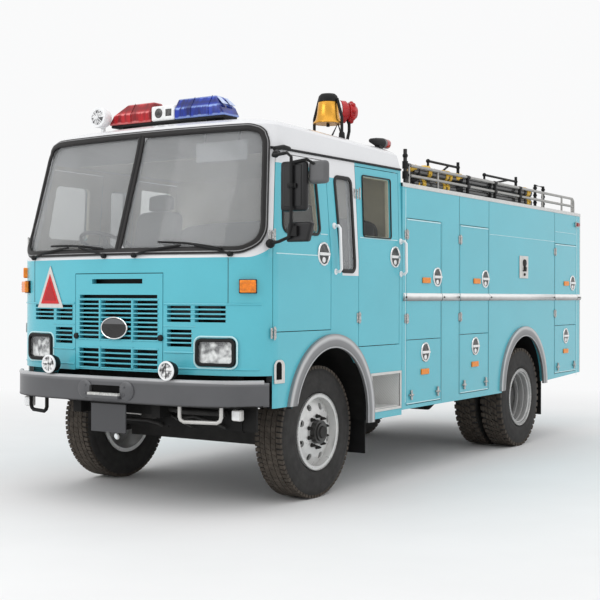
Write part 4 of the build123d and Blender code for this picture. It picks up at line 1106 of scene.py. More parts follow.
# head lamps
first = None
for nm, sx in SIDES:
    cx, cz, hw, hh = 0.867, 1.165, 0.145, 0.091
    ring = rounded_loop([(cx - hw, cz - hh), (cx + hw, cz - hh), (cx + hw, cz + hh), (cx - hw, cz + hh)], 0.035, 6)
    def lay(p2, lift):
        out = []
        for q in p2:
            # the lamp is a plane between the inner and outer end of its opening
            ya, yb = -0.947 - S0, -0.893 - S0
            y = ya + (yb - ya) * (q.x - 0.722) / (1.012 - 0.722)
            out.append(Vector((sx * q.x, y - lift, q.y)))
        return out
    nrm = Vector((sx * 0.18, -1, 0)).normalized()
    base = lay(ring, 0.002)
    Build().sweep(base, [nrm] * len(base), [(-0.014, -0.02), (-0.014, 0.014), (-0.007, 0.019), (0.009, 0.017), (0.014, -0.02)]).make(
        f"headlamp_bezel_{nm}", "black", slot="lamp_housing")
    outer = rounded_loop([(cx - hw - 0.022, cz - hh - 0.022), (cx + hw + 0.022, cz - hh - 0.022), (cx + hw + 0.022, cz + hh + 0.022), (cx - hw - 0.022, cz + hh + 0.022)], 0.05, 6)
    # light teal ring round the lamp opening: painted highlight
    Build().tube(lay(outer, 0.0), 0.0075, 8, True).make(f"headlamp_surround_highlight_{nm}", "shine", slot="teal_paint")
    inner = rounded_loop([(cx - hw + 0.012, cz - hh + 0.012), (cx + hw - 0.012, cz - hh + 0.012), (cx + hw - 0.012, cz + hh - 0.012), (cx - hw + 0.012, cz + hh - 0.012)], 0.02, 5)
    ob = Build().prism(lay(inner, -0.012), (0, 0.004, 0)).make(f"headlamp_reflector_{nm}", "head_painted_reflections", slot="lamp_lens")
    if first is None:
        first = ob
    g0 = Build()
    g0.prism(lay(inner, 0.004), (0, 0.003, 0))
    g0.make(f"headlamp_glass_{nm}", "lampglass" if "lampglass" in M else "crew_glass", slot="lamp_lens")
    # fog lamps on the bumper
    o = P(sx * 0.580, -1.118, 1.034 if sx > 0 else 1.046)
    Build().lathe(o + Vector((0, 0.082, 0)), (0, -1, 0), [(0, 0.030), (0.02, 0.058), (0.05, 0.068), (0.078, 0.070), (0.092, 0.068)], 32).make(
        f"fog_shell_{nm}", "black", slot="lamp_housing")
    Build().tube([o + Vector((0.063 * math.cos(2 * math.pi * k / 40), -0.008, 0.063 * math.sin(2 * math.pi * k / 40))) for k in range(40)], 0.0085, 8, True).make(
        f"fog_rim_{nm}", "wtube")
    Build().lathe(o + Vector((0, -0.006, 0)), (0, -1, 0), [(0, 0.060), (0.004, 0.056), (0.008, 0.030)], 32).make(f"fog_lens_{nm}", "fog_painted_reflections", slot="lamp_lens")
    fr = Build()
    for k in range(2):
        a = math.pi * k / 2
        fr.tube([o + Vector((0.054 * math.cos(a), -0.014, 0.054 * math.sin(a))), o + Vector((-0.054 * math.cos(a), -0.014, -0.054 * math.sin(a)))], 0.0025, 6)
    fr.make(f"fog_ribs_{nm}", "iron")
    Build().box(sx * 0.560, sx * 0.600, -1.090, -1.050, 0.953, 0.980).make(f"fog_foot_{nm}", "black", bevel=0.004)
    # corner indicators
    q, nq = on_front(sx * 1.095, 1.640)
    if q is None:
        q, nq = P(sx * 1.095, -0.842, 1.640), Vector((sx * 0.5, -0.86, 0))
    t = Vector((-nq.y, nq.x, 0)).normalized()
    up = Vector((0, 0, 1))
    for w, h, d0, d1, mat, tag in ((0.064, 0.050, -0.02, 0.012, "black", "base"), (0.058, 0.045, 0.012, 0.042, "amber", "lens")):
        pts = [q + nq * d0 + t * a + up * b for a, b in ((-w, -h), (w, -h), (w, h), (-w, h))]
        Build().prism(pts, nq * (d1 - d0)).make(f"indicator_{tag}_{nm}", mat, bevel=0.008 if tag == "lens" else 0.003, seg=3)
    rl = Build()
    for k in range(3):
        a = q + nq * 0.0425 + up * (-0.022 + 0.022 * k)
        rl.tube([a - t * 0.050, a + t * 0.050], 0.003, 6)
    rl.make(f"indicator_ribs_{nm}", "amber")
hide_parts("lamps")
# second small lamp on the far corner
q, nq = on_front(-1.165, 1.755)
if q is None:
    q, nq = P(-1.165, -0.78, 1.755), Vector((-0.6, -0.8, 0))
t = Vector((-nq.y, nq.x, 0)).normalized()
pts = [q - nq * 0.01 + t * a + Vector((0, 0, b)) for a, b in ((-0.05, -0.042), (0.05, -0.042), (0.05, 0.042), (-0.05, 0.042))]
Build().prism(pts, nq * 0.040).make("corner_marker", "amber", bevel=0.008, seg=3)

# warning triangle
tri = [(-0.905, 1.474), (-0.575, 1.474), (-0.740, 1.806)]
b = Build()
front_patch(b, tri, 0.002, 0.008)
b.make("triangle_edge", "tri_edge", bevel=0.003)
cx = sum(p[0] for p in tri) / 3
cz = sum(p[1] for p in tri) / 3
b = Build()
front_patch(b, [(cx + (x - cx) * 0.70, cz + (z - cz) * 0.70) for x, z in tri], 0.010, 0.003)
b.make("triangle_red", "tri_red")
b = Build()
front_patch(b, [(cx + (x - cx) * 0.48, cz + (z - cz) * 0.48) for x, z in tri], 0.013, 0.002)
b.make("triangle_middle", "tri_dark")

# front seam lines
sm = Build()
for x, z0, z1 in ((0.962, 1.520, 1.846), (-0.962, 1.520, 1.846)):
    pts = [on_front(x, z0 + (z1 - z0) * k / 6)[0] + Vector((0, -0.0005, 0)) for k in range(7)]
    sm.tube(pts, 0.0025, 6)
sm.make("front_seams", "seam")

# bumper hardware: loops, small lamp, bracket sides
T_BUMPER = tree("front_bumper")
roll = []
for k in range(61):
    x = -1.205 + 2.41 * k / 60
    h = T_BUMPER.ray_cast(Vector((x, -6.0, 0.935)), Vector((0, 1, 0)))
    if h[0] is not None:
        roll.append(Vector((x, h[0].y + 0.015, 0.9570)))
# pale tube along the upper front edge of the bumper: painted highlight
Build().tube(roll, 0.0165, 10).make("bumper_roll_highlight", "roll", slot="bumper_grey")
# black tube along the lower edge of the bumper: painted shade
Build().tube([p + Vector((0, -0.009, -0.1705)) for p in roll], 0.0065, 8).make("bumper_low_roll_shade", "frame", slot="bumper_grey")
for nm, sx in SIDES:
    xa, xb = (0.640, 0.955) if sx > 0 else (0.680, 0.920)
    ya, yb = -1.045, -0.960 - 0.30 * (0.985 - xb)
    # one part in two colours, light grey near and black far: painted lit and shaded copies of one loop
    Build().tube([P(sx * xb, yb, 0.79), P(sx * xb, yb, 0.705), P(sx * (xb - 0.010), yb, 0.682), P(sx * (xb - 0.034), yb - 0.006, 0.668),
                  P(sx * (xa + 0.034), ya + 0.006, 0.668), P(sx * (xa + 0.010), ya, 0.682), P(sx * xa, ya, 0.705), P(sx * xa, ya, 0.79)],
                 0.0145, 12).make(f"bumper_loop_{nm}", "ltube" if sx > 0 else "frame")
    Build().box(sx * 0.995, sx * 1.075, -0.905, -0.850, 0.680, 0.762).make(f"under_lamp_{nm}", "panel", bevel=0.014, seg=3, slot="lamp_housing")
    Build().box(sx * 1.002, sx * 1.068, -0.909, -0.903, 0.688, 0.754).make(f"under_lamp_lens_{nm}", "clear", bevel=0.004, slot="lamp_lens")
    Build().tube([P(sx * 1.035, -0.870, 0.74), P(sx * 1.030, -0.880, 0.80)], 0.012, 8).make(f"under_lamp_arm_{nm}", "black")
    b = Build()
    b.lathe(P(sx * 0.205, -1.119, 0.872), (0, -1, 0), [(0, 0.072), (0.008, 0.070), (0.016, 0.058)], 24)
    for dz in (-0.03, 0.03):
        b.ball(P(sx * 0.190, -1.134, 0.872 + dz), 0.010, 8)
    b.make(f"tow_bracket_boss_{nm}", "bumper")
# dark works behind the bumper: apron (a black panel, painted shade under the bumper), cross tube, air pipes and a valve
# block
ap = Build().box(-0.440, 1.030, -0.820, -0.800, 0.600, 1.000)
ap.box(0.440, 0.960, -0.980, -0.800, 0.765, 0.785)
ap.box(1.020, 1.150, -0.812, -0.792, 0.600, 0.830)
ap.make("front_apron_shade", "frame")
pi = Build()
pi.tube([P(-0.30, -0.90, 0.745), P(0.40, -0.90, 0.745), P(0.55, -0.88, 0.725), P(0.92, -0.86, 0.725)], 0.024, 12)
pi.tube([P(-0.30, -0.88, 0.640), P(0.20, -0.88, 0.640), P(0.30, -0.87, 0.620), P(0.30, -0.82, 0.600)], 0.014, 10)
pi.tube([P(0.45, -0.85, 0.66), P(0.62, -0.86, 0.69), P(0.80, -0.86, 0.66), P(0.90, -0.84, 0.62)], 0.012, 10)
pi.box(0.16, 0.30, -0.900, -0.815, 0.655, 0.715)
pi.tube([P(0.40, -0.880, 0.700), P(0.52, -0.880, 0.650), P(0.60, -0.850, 0.610)], 0.009, 10)
pi.make("front_pipes", "iron", bevel=0.003)
pi = Build()
pi.tube([P(0.02, -0.915, 0.690), P(0.13, -0.915, 0.690), P(0.16, -0.905, 0.685)], 0.010, 10)
pi.lathe(P(0.345, -0.880, 0.700), (0, -1, 0), [(0, 0.030), (0.03, 0.028), (0.034, 0.016)], 18)
pi.make("front_fittings", "ltube")
# near black boxes in the tow opening: painted shade
op = Build()
for k in range(6):
    a, c = -0.132 + 0.044 * k, -0.132 + 0.044 * (k + 1)
    q = T_BUMPER.ray_cast(Vector(((a + c) / 2, -6.0, 0.878)), Vector((0, 1, 0)))[0]
    op.box(a, c, q.y + S0 - 0.0025, q.y + S0 + 0.004, 0.8535, 0.906)
op.make("tow_opening_painted_shade", "hole_shade")
Build().box(-0.172, 0.172, -1.101, -1.084, 0.766, 0.776).make("plate_top_fold", "frame", bevel=0.002)

# wipers
for tag, feet, tip0, tip1 in (("right", (-0.96, -0.12), (-0.75, 1.955), (-0.14, 1.921)), ("left", (0.176, 0.98), (0.38, 1.962), (0.925, 1.905))):
    b = Build()
    blade = []
    for k in range(13):
        x = tip0[0] + (tip1[0] - tip0[0]) * k / 12
        z = tip0[1] + (tip1[1] - tip0[1]) * k / 12 + 0.012 * math.sin(math.pi * k / 12)
        q = on_front(x, z)[0]
        if q:
            blade.append(q + Vector((0, -0.034, 0.004)))
    b.tube(blade, 0.008, 8)
    mid = blade[len(blade) // 2] + Vector((0, -0.012, 0))
    ends = []
    for x in feet:
        q = on_front(x, 1.872)[0]
        ends.append(q + Vector((0, -0.022, 0)))
    for e in ends:
        b.tube([e, e + (mid - e) * 0.30 + Vector((0, -0.018, 0.012)), mid + (e - mid) * 0.15], 0.0085, 8)
        b.lathe(e + Vector((0, 0.020, 0)), (0, -1, 0), [(0, 0.020), (0.026, 0.020), (0.036, 0.012)], 14)
    b.make(f"wiper_{tag}", "black")

# ------------------------------------------------------------------ roof
roof0 = None
def dome(name, x0, x1, s0, s1, z0, z1, mat, ends=(0.0, 0.0)):
    """faceted lamp cover, its upper edge set in"""
    e0, e1 = ends
    t = 0.055
    lo = [P(x0, s0, z0), P(x1, s0, z0), P(x1, s1, z0), P(x0, s1, z0)]
    md = [P(x0 + e0 * 0.35, s0 - 0.004, z0 + (z1 - z0) * 0.45), P(x1 - e1 * 0.35, s0 - 0.004, z0 + (z1 - z0) * 0.45),
          P(x1 - e1 * 0.35, s1 + 0.004, z0 + (z1 - z0) * 0.45), P(x0 + e0 * 0.35, s1 + 0.004, z0 + (z1 - z0) * 0.45)]
    hi = [P(x0 + e0, s0 + t, z1), P(x1 - e1, s0 + t, z1), P(x1 - e1, s1 - t, z1), P(x0 + e0, s1 - t, z1)]
    b = Build()
    fs = [(3, 2, 1, 0), (8, 9, 10, 11)]
    for k in range(4):
        j = (k + 1) % 4
        fs += [(k, j, 4 + j, 4 + k), (4 + k, 4 + j, 8 + j, 8 + k)]
    b.add(lo + md + hi, fs)
    return b.make(name, mat, bevel=0.012, seg=3)


zb = 2.985
bar = Build().box(-0.570, 0.580, -0.435, -0.265, 2.938, 2.962)
bar.make("bar_tray", "black", bevel=0.006, slot="lamp_housing")
red = dome("bar_red", -0.582, -0.142, -0.455, -0.245, 2.958, 3.122, "bar_red", (0.16, 0.0))
blu = dome("bar_blue", 0.102, 0.592, -0.455, -0.245, 2.958, 3.122, "bar_blue", (0.0, 0.12))
Build().box(-0.140, 0.100, -0.448, -0.252, 2.958, 3.078).make("bar_speaker", "clear", bevel=0.016, seg=3)
sp = Build()
sp.lathe(P(-0.060, -0.447, 3.018), (0, -1, 0), [(0, 0.040), (0.005, 0.036), (0.006, 0.020)], 24)
sp.box(0.010, 0.070, -0.4500, -0.446, 2.990, 3.046)
sp.make("bar_centre_lamp", "dish", bevel=0.003)
for key, sx, mat in (("red", -1, "redlens"), ("blue", 1, "bluelens")):
    # dark joints of the moulded cover
    rb = Build()
    for x in ((-0.34,) if sx < 0 else (0.27, 0.44)):
        rb.tube([P(x, -0.4560, 2.962), P(x, -0.4605, 3.030), P(x, -0.402, 3.1235)], 0.0022, 6)
    rb.make(f"bar_joints_{key}", "bar_dark_" + key)
ft = Build()
for x in (-0.43, 0.43):
    ft.box(x - 0.045, x + 0.045, -0.40, -0.30, on_roof(x, -0.39) - 0.004, 2.942)
ft.make("bar_feet", "black", bevel=0.004)
# pale blue patches on the sloped outer end of the cover: painted highlights
gl = Build()
for s0, s1 in ((-0.432, -0.362), (-0.338, -0.268)):
    q = [P(0.558, s0, 3.044), P(0.558, s1, 3.044), P(0.492, s1 - 0.012, 3.104), P(0.492, s0 + 0.020, 3.104)]
    gl.prism([v + Vector((0.002, 0, 0.002)) for v in q], (0.003, 0, 0.003))
gl.make("bar_end_painted_glints", "pale_blue")
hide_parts("light_bar")

# work lamp beside the bar
o = P(-0.606, -0.508, 3.016)
spot = Build().lathe(o + Vector((0, 0.060, 0)), (0, -1, 0), [(0, 0.040), (0.02, 0.072), (0.06, 0.084), (0.100, 0.085), (0.115, 0.080)], 36)
spot = spot.make("work_lamp_shell", "wtube", slot="lamp_housing")
Build().lathe(o + Vector((0, -0.050, 0)), (0, -1, 0), [(0, 0.066), (0.006, 0.060), (0.010, 0.030)], 36).make("work_lamp_lens", "fog_painted_reflections", slot="lamp_lens")
b = Build()
for k in range(5):
    a = math.pi * k / 5
    b.tube([o + Vector((0.066 * math.cos(a), -0.062, 0.066 * math.sin(a))), o + Vector((-0.066 * math.cos(a), -0.062, -0.066 * math.sin(a)))], 0.003, 6)
b.make("work_lamp_ribs", "wtube")
Build().tube([P(-0.606, -0.490, 2.955), P(-0.606, -0.490, on_roof(-0.606, -0.490) - 0.012)], 0.018, 10).make("work_lamp_stem", "wtube")
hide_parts("roof_fittings")

# bell with black crown and stand
bx, bs = 0.80, 0.72
bell = [(3.014, 0.120), (3.022, 0.117), (3.048, 0.104), (3.09, 0.094), (3.14, 0.088), (3.185, 0.084), (3.20, 0.078)]
Build().lathe(P(bx, bs, 0), (0, 0, 1), bell, 40).make("bell", "brass")
Build().lathe(P(bx, bs, 0), (0, 0, 1), [(3.013, 0.124), (3.020, 0.125), (3.028, 0.120)], 40).make("bell_rim", "brass")
Build().lathe(P(bx, bs, 0), (0, 0, 1), [(3.195, 0.085), (3.215, 0.086), (3.245, 0.078), (3.262, 0.060), (3.266, 0.030)], 32).make("bell_crown", "black")
b = Build()
zr = on_roof(0.8, 0.72)
for dx in (-0.135, 0.135):
    b.tube([P(bx + dx * 0.65, bs, 3.22), P(bx + dx, bs, 3.06), P(bx + dx, bs, zr - 0.02)], 0.013, 10)
    b.lathe(P(bx + dx, bs, zr - 0.012), (0, 0, 1), [(0, 0.028), (0.05, 0.024), (0.06, 0.016)], 14)
b.tube([P(bx, bs, 3.05), P(bx, bs, 2.990)], 0.014, 10)
b.tube([P(bx, bs + 0.03, zr - 0.01), P(bx + 0.06, bs + 0.06, 3.02), P(bx + 0.10, bs + 0.09, zr - 0.03)], 0.010, 8)
b.make("bell_stand", "black")
# siren
sc = P(0.745, 1.075, 3.165)
ax = Vector((-0.65, -0.76, 0.0)).normalized()
Build().lathe(sc - ax * 0.11, ax, [(0, 0.050), (0.03, 0.078), (0.075, 0.084), (0.08, 0.070), (0.10, 0.070), (0.105, 0.096), (0.15, 0.098), (0.155, 0.085)], 32).make("siren_body", "red")
b = Build()
for k in range(8):
    a = 2 * math.pi * k / 8
    u = ax.cross(Vector((0, 0, 1))).normalized()
    w = u.cross(ax)
    c = sc - ax * 0.065 + (u * math.cos(a) + w * math.sin(a)) * 0.076
    b.ball(c, 0.022, 10)
b.make("siren_lobes", "red")
Build().lathe(sc + ax * 0.046, ax, [(0, 0.094), (0.010, 0.094), (0.016, 0.080)], 32).make("siren_face", "wtube")
zr = on_roof(0.75, 1.08)
Build().tube([sc + Vector((0.02, 0.02, -0.06)), P(0.775, 1.11, 3.06), P(0.775, 1.11, 3.00), P(0.755, 1.08, zr - 0.005)], 0.014, 10).make("siren_stand", "black")
# rear roof beacon
bc = P(1.085, 1.085, 2.880)
Build().lathe(bc, (0, 1, 0), [(-0.160, 0.008), (-0.145, 0.018), (-0.05, 0.034), (0.03, 0.041), (0.050, 0.041)], 28).make("beacon_body", "black")
Build().lathe(bc, (0, 1, 0), [(0.045, 0.0425), (0.078, 0.0425), (0.082, 0.041)], 28).make("beacon_ring", "mirror_grey")
Build().lathe(bc, (0, 1, 0), [(0.078, 0.0415), (0.140, 0.0405), (0.156, 0.030), (0.160, 0.012)], 28).make("beacon_lens", "redlens")
zr = on_roof(1.085, 1.08)
Build().box(1.060, 1.110, 1.05, 1.11, zr - 0.03, 2.86).make("beacon_foot", "black", bevel=0.004)

# ------------------------------------------------------------------ deck equipment
for nm, sx in SIDES:
    b = Build()
    b.tube([P(sx * 1.15, 1.438, 2.545), P(sx * 1.15, 1.438, 2.858)], 0.0165, 14)
    b.ball(P(sx * 1.15, 1.438, 2.800), 0.024, 12)
    for z in (2.632, 2.720):
        b.lathe(P(sx * 1.15, 1.438, z - 0.032), (0, 0, 1), [(0, 0.026), (0.064, 0.026)], 14)
        b.tube([P(sx * 1.15, 1.438, z), P(sx * 1.165, 1.500, z)], 0.018, 10)
    b.tube([P(sx * 1.15, 1.450, 2.66), P(sx * 1.13, 1.56, 2.545)], 0.016, 10)
    for s in (2.70, 3.35, 4.00):
        for z in (2.632, 2.720):
            b.tube([P(sx * 1.165, s - 0.030, z), P(sx * 1.165, s + 0.030, z)], 0.019, 12)
        b.tube([P(sx * 1.165, s, 2.545), P(sx * 1.165, s, 2.735)], 0.0165, 10)
    b.make(f"deck_post_{nm}", "black")
    cp, cl, bk = Build(), Build(), Build()
    for z in (2.593, 2.699):
        off = 0.0 if z > 2.65 else -0.12
        # couplings: a lugged ring, a collar and a cap, each of its own width
        for s0, parts in ((1.905 + off, ((0.0, 0.030, 0.047), (0.030, 0.050, 0.060), (0.084, 0.022, 0.054))),
                          (2.300 + off * 0.5, ((0.0, 0.045, 0.060), (0.050, 0.030, 0.050), (0.084, 0.038, 0.062))),
                          (4.300, ((0.0, 0.040, 0.060), (0.046, 0.052, 0.052)))):
            for d0, ln, r in parts:
                cp.lathe(P(sx * 1.080, s0 + d0, z), (0, 1, 0), [(0, r * 0.88), (0.007, r), (ln - 0.007, r), (ln, r * 0.88)], 24)
            for k in range(3):
                a = 2 * math.pi * k / 3 + s0
                cp.ball(P(sx * (1.080 + 0.060 * math.cos(a)), s0 + 0.05, z + 0.060 * math.sin(a)), 0.014, 8)
        for s in (2.62, 3.30, 4.22):
            cl.lathe(P(sx * 1.080, s, z), (0, 1, 0), [(0, 0.0535), (0.004, 0.057), (0.036, 0.057), (0.040, 0.0535)], 24)
        for k, (s, dz, r, ln, yaw) in enumerate(((1.60, 0.030, 0.034, 0.10, 0.5), (1.74, 0.010, 0.042, 0.09, -0.6), (1.86, 0.046, 0.032, 0.12, 0.2),
                                                 (2.10, 0.040, 0.036, 0.10, -0.3), (2.52, 0.026, 0.040, 0.12, 0.4))):
            d = Vector((math.sin(yaw) * 0.5, math.cos(yaw), 0.15 * (-1) ** k)).normalized()
            (cp if (k + (z > 2.65)) % 2 else cl).lathe(P(sx * 1.095, s, z + dz - 0.02), d, [(0, r * 0.8), (0.01, r), (ln * 0.5, r), (ln * 0.55, r * 0.7), (ln, r * 0.7)], 18)
    cp.make(f"hose_couplings_{nm}", "yellow")
    cl.make(f"hose_clamps_{nm}", "black")
    for s0, s1, zz in ((2.02, 2.66, 2.815), (3.28, 4.10, 2.800)):
        bk.tube([P(sx * 1.08, s0, 2.745), P(sx * 1.08, s0, zz), P(sx * 1.08, s1, zz), P(sx * 1.08, s1, zz + 0.05)], 0.012, 10)
        bk.tube([P(sx * 1.08, s1, zz + 0.05), P(sx * 1.08, s1, 2.745)], 0.015, 10)
        bk.tube([P(sx * 1.08, s0 + 0.30, 2.748), P(sx * 1.08, s1 - 0.2, zz)], 0.010, 8)
        for q in (s0, s1):
            bk.ball(P(sx * 1.08, q, zz), 0.020, 12)
    bk.tube([P(sx * 1.10, 4.60, 2.545), P(sx * 1.10, 4.60, 2.800), P(sx * 1.10, 4.84, 2.800), P(sx * 1.10, 4.84, 2.545)], 0.016, 10)
    for q in (4.60, 4.84):
        for z in (2.60, 2.68, 2.76):
            bk.lathe(P(sx * 1.10, q, z), (0, 0, 1), [(0, 0.022), (0.02, 0.022)], 12)
    bk.make(f"deck_brackets_{nm}", "black")
    Build().tube([P(sx * 1.165, 5.560, 2.720), P(sx * 1.165, 5.600, 2.716), P(sx * 1.165, 5.628, 2.694), P(sx * 1.165, 5.636, 2.660),
                  P(sx * 1.165, 5.636, 2.545)], 0.0145, 12).make(f"rail_end_{nm}", "rail", slot="rail_grey")

# ------------------------------------------------------------------ mirrors, on the truck's left side
for nm, sx in SIDES[:1]:
    b = Build().box(sx * 1.342, sx * 1.558, -0.812, -0.752, 2.164, 2.516)
    main = b.make(f"mirror_main_{nm}", "mirror_shell", bevel=0.026, seg=4, slot="mirror_black")
    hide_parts("mirrors")
    Build().box(sx * 1.356, sx * 1.544, -0.753, -0.749, 2.180, 2.500).make(f"mirror_main_face_{nm}", "mirror", bevel=0.001)
    Build().box(sx * 1.375, sx * 1.525, -0.818, -0.810, 2.195, 2.485).make(f"mirror_main_back_{nm}", "mirror_shell", bevel=0.006)
    Build().box(sx * 1.545, sx * 1.700, -0.768, -0.708, 2.352, 2.514).make(f"mirror_wide_{nm}", "mirror_grey", bevel=0.028, seg=4)
    Build().box(sx * 1.560, sx * 1.686, -0.709, -0.7055, 2.366, 2.500).make(f"mirror_wide_face_{nm}", "mirror", bevel=0.001)
    pts = [P(sx * 1.395, -0.812, 1.950), P(sx * 1.575, -0.812, 1.950), P(sx * 1.610, -0.812, 2.085), P(sx * 1.410, -0.812, 2.090)]
    Build().prism(pts, (0, 0.05, 0)).make(f"mirror_low_{nm}", "mirror_shell", bevel=0.014, seg=3)
    b = Build()
    b.tube([P(sx * 1.150, -0.600, 2.600), P(sx * 1.235, -0.695, 2.604), P(sx * 1.300, -0.765, 2.585)], 0.016, 10)
    b.tube([P(sx * 1.300, -0.830, 2.560), P(sx * 1.420, -0.836, 2.570), P(sx * 1.455, -0.836, 2.540), P(sx * 1.455, -0.836, 2.060), P(sx * 1.440, -0.830, 1.985),
            P(sx * 1.330, -0.800, 1.955), P(sx * 1.225, -0.755, 1.945)], 0.012, 10)
    b.tube([P(sx * 1.300, -0.765, 2.585), P(sx * 1.300, -0.830, 2.560)], 0.015, 10)
    b.ball(P(sx * 1.300, -0.800, 2.572), 0.026, 12)
    b.ball(P(sx * 1.225, -0.752, 1.945), 0.034, 14)
    b.tube([P(sx * 1.225, -0.752, 1.945), P(sx * 1.198, -0.725, 1.945)], 0.020, 10)
    b.tube([P(sx * 1.455, -0.836, 2.50), P(sx * 1.560, -0.800, 2.520), P(sx * 1.600, -0.770, 2.49)], 0.011, 10)
    b.ball(P(sx * 1.455, -0.836, 2.34), 0.022, 10)
    b.box(sx * 1.42, sx * 1.49, -0.834, -0.812, 2.325, 2.355)
    b.box(sx * 1.44, sx * 1.50, -0.836, -0.806, 1.99, 2.06)
    b.tube([P(sx * 1.160, -0.610, 2.640), P(sx * 1.180, -0.520, 2.660), P(sx * 1.175, -0.440, 2.655)], 0.018, 10)
    b.make(f"mirror_arms_{nm}", "black", slot="mirror_black")


# ------------------------------------------------------------------ wheels
def tyre(name, xc, s, sx, body, style, wide=1.0):
    prof = [(-0.104, 0.2835), (-0.1125, 0.301), (-0.121, 0.305), (-0.131, 0.333), (-0.1345, 0.350), (-0.1330, 0.356), (-0.135, 0.383),
            (-0.1330, 0.425), (-0.1300, 0.436), (-0.1310, 0.442), (-0.124, 0.478), (-0.112, 0.497), (-0.094, 0.5035)]
    prof = prof + [(0.0, 0.505)] + [(-a, r) for a, r in reversed(prof)]
    b = Build()
    o = P(0, s, RT)
    b.lathe(o, (1, 0, 0), [(sx * xc + a * wide, r) for a, r in prof], 96, caps=False)
    t = b.make(name, "tyre", body, angle=50, slot="tyre_rubber")
    tr = Build()

    def block(x0, x1, t0, t1, r0, r1, skew=0.0):
        vs = []
        for r in (r0, r1):
            for x, sk in ((x0, 0.0), (x1, skew)):
                for th in (t0, t1):
                    a = th + sk
                    vs.append(Vector((sx * xc + x * wide, o.y + r * math.cos(a), o.z + r * math.sin(a))))
        tr.add(vs, [(0, 1, 3, 2), (4, 6, 7, 5), (0, 4, 5, 1), (2, 3, 7, 6), (0, 2, 6, 4), (1, 5, 7, 3)])
    if style == "rib":
        n = 76
        d = 2 * math.pi / n
        for k in range(n):
            t0 = k * d
            for x0, x1 in ((-0.068, -0.030), (-0.024, 0.024), (0.030, 0.068)):
                block(x0, x1, t0, t0 + d * 0.93, 0.500, 0.5158, d * 0.35)
            for sg in (-1, 1):
                a, e = (-0.116, -0.074) if sg < 0 else (0.074, 0.116)
                block(a, e, t0 + d * 0.1, t0 + d * 0.82, 0.488, 0.5145, d * 0.1 * sg)
    else:
        n = 46
        d = 2 * math.pi / n
        for k in range(n):
            t0 = k * d
            for j, (x0, x1) in enumerate(((-0.066, -0.036), (-0.030, -0.002), (0.002, 0.030), (0.036, 0.066))):
                block(x0, x1, t0 + d * 0.25 * (j % 2), t0 + d * (0.78 + 0.25 * (j % 2)), 0.498, 0.5158, d * 0.2)
            for sg in (-1, 1):
                a, e = (-0.122, -0.072) if sg < 0 else (0.072, 0.122)
                block(a, e, t0, t0 + d * 0.62, 0.480, 0.5150, 0.0)
    tr.make(name + "_tread", "tread", body, angle=30)
    return t


def nuts(name, x, s, sx, r, body, n=10, size=0.0165, h=0.030):
    b = Build()
    for k in range(n):
        a = 2 * math.pi * (k + 0.5) / n
        c = P(sx * x, s + r * math.cos(a), RT + r * math.sin(a))
        b.lathe(c, (sx, 0, 0), [(0, size * 1.25), (0.005, size * 1.25)], 16)
        b.lathe(c + Vector((sx * 0.005, 0, 0)), (sx, 0, 0), [(0, size), (h * 0.75, size), (h, size * 0.75)], 6)
        b.lathe(c + Vector((sx * h, 0, 0)), (sx, 0, 0), [(0, size * 0.5), (0.016, size * 0.5)], 10)
    b.make(name, "iron", body, angle=30)


for nm, sx in SIDES:
    t = tyre(f"front_tyre_{nm}", 0.975, AXF, sx, f"front_wheel_{nm}", "rib")
    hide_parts(f"tyre_front_{nm}")
    t1 = tyre(f"rear_tyre_outer_{nm}", 1.074, AXR, sx, f"rear_wheels_{nm}", "lug", 246 / 270)
    tyre(f"rear_tyre_inner_{nm}", 0.780, AXR, sx, f"rear_wheels_{nm}", "lug", 246 / 270)
    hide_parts(f"tyres_rear_{nm}")
    nuts(f"front_nuts_{nm}", 1.086, AXF, sx, 0.121, f"front_wheel_{nm}", size=0.0135, h=0.026)
    nuts(f"rear_nuts_{nm}", 1.000, AXR, sx, 0.150, f"rear_wheels_{nm}", size=0.018)
    # dark face over the rear disc: painted shade in the deep disc
    b = Build().lathe(P(sx * 1.0005, AXR, RT), (sx, 0, 0), [(0, 0.214), (0.004, 0.210), (0.006, 0.180)], 48)
    b.make(f"rear_disc_painted_shade_{nm}", "iron", f"rear_wheels_{nm}", slot="wheel_silver")
    b = Build().lathe(P(sx * 1.128, AXF, RT), (sx, 0, 0), [(0, 0.072), (0.010, 0.070), (0.012, 0.050), (0.024, 0.046)], 28)
    b.make(f"front_hub_cap_{nm}", "iron", f"front_wheel_{nm}")
    b = Build().lathe(P(0, AXR, RT), (1, 0, 0), [(sx * x, r) for x, r in (
        (1.188, 0.2665), (1.178, 0.2640), (1.172, 0.2560), (1.146, 0.2550), (1.142, 0.2590), (1.122, 0.2590), (1.118, 0.2500),
        (1.088, 0.2490), (1.084, 0.2540), (1.060, 0.2540), (1.056, 0.2460), (1.030, 0.2440))], 72, caps=False)
    b.make(f"rear_rim_steps_{nm}", "rim_silver", f"rear_wheels_{nm}", angle=20, slot="wheel_silver")
    for s, x, body, tag in ((AXF, 1.103, f"front_wheel_{nm}", "front"), (AXR, 1.190, f"rear_wheels_{nm}", "rear")):
        Build().tube([P(sx * x, s + 0.2955 * math.cos(2 * math.pi * k / 64), RT + 0.2955 * math.sin(2 * math.pi * k / 64)) for k in range(64)],
                     0.0052, 8, True).make(f"{tag}_rim_bead_{nm}", "steel", body)
        Build().tube([P(sx * (x - 0.004), s + 0.276 * math.cos(2 * math.pi * k / 64), RT + 0.276 * math.sin(2 * math.pi * k / 64)) for k in range(64)],
                     0.0040, 8, True).make(f"{tag}_rim_step_{nm}", "steel", body)

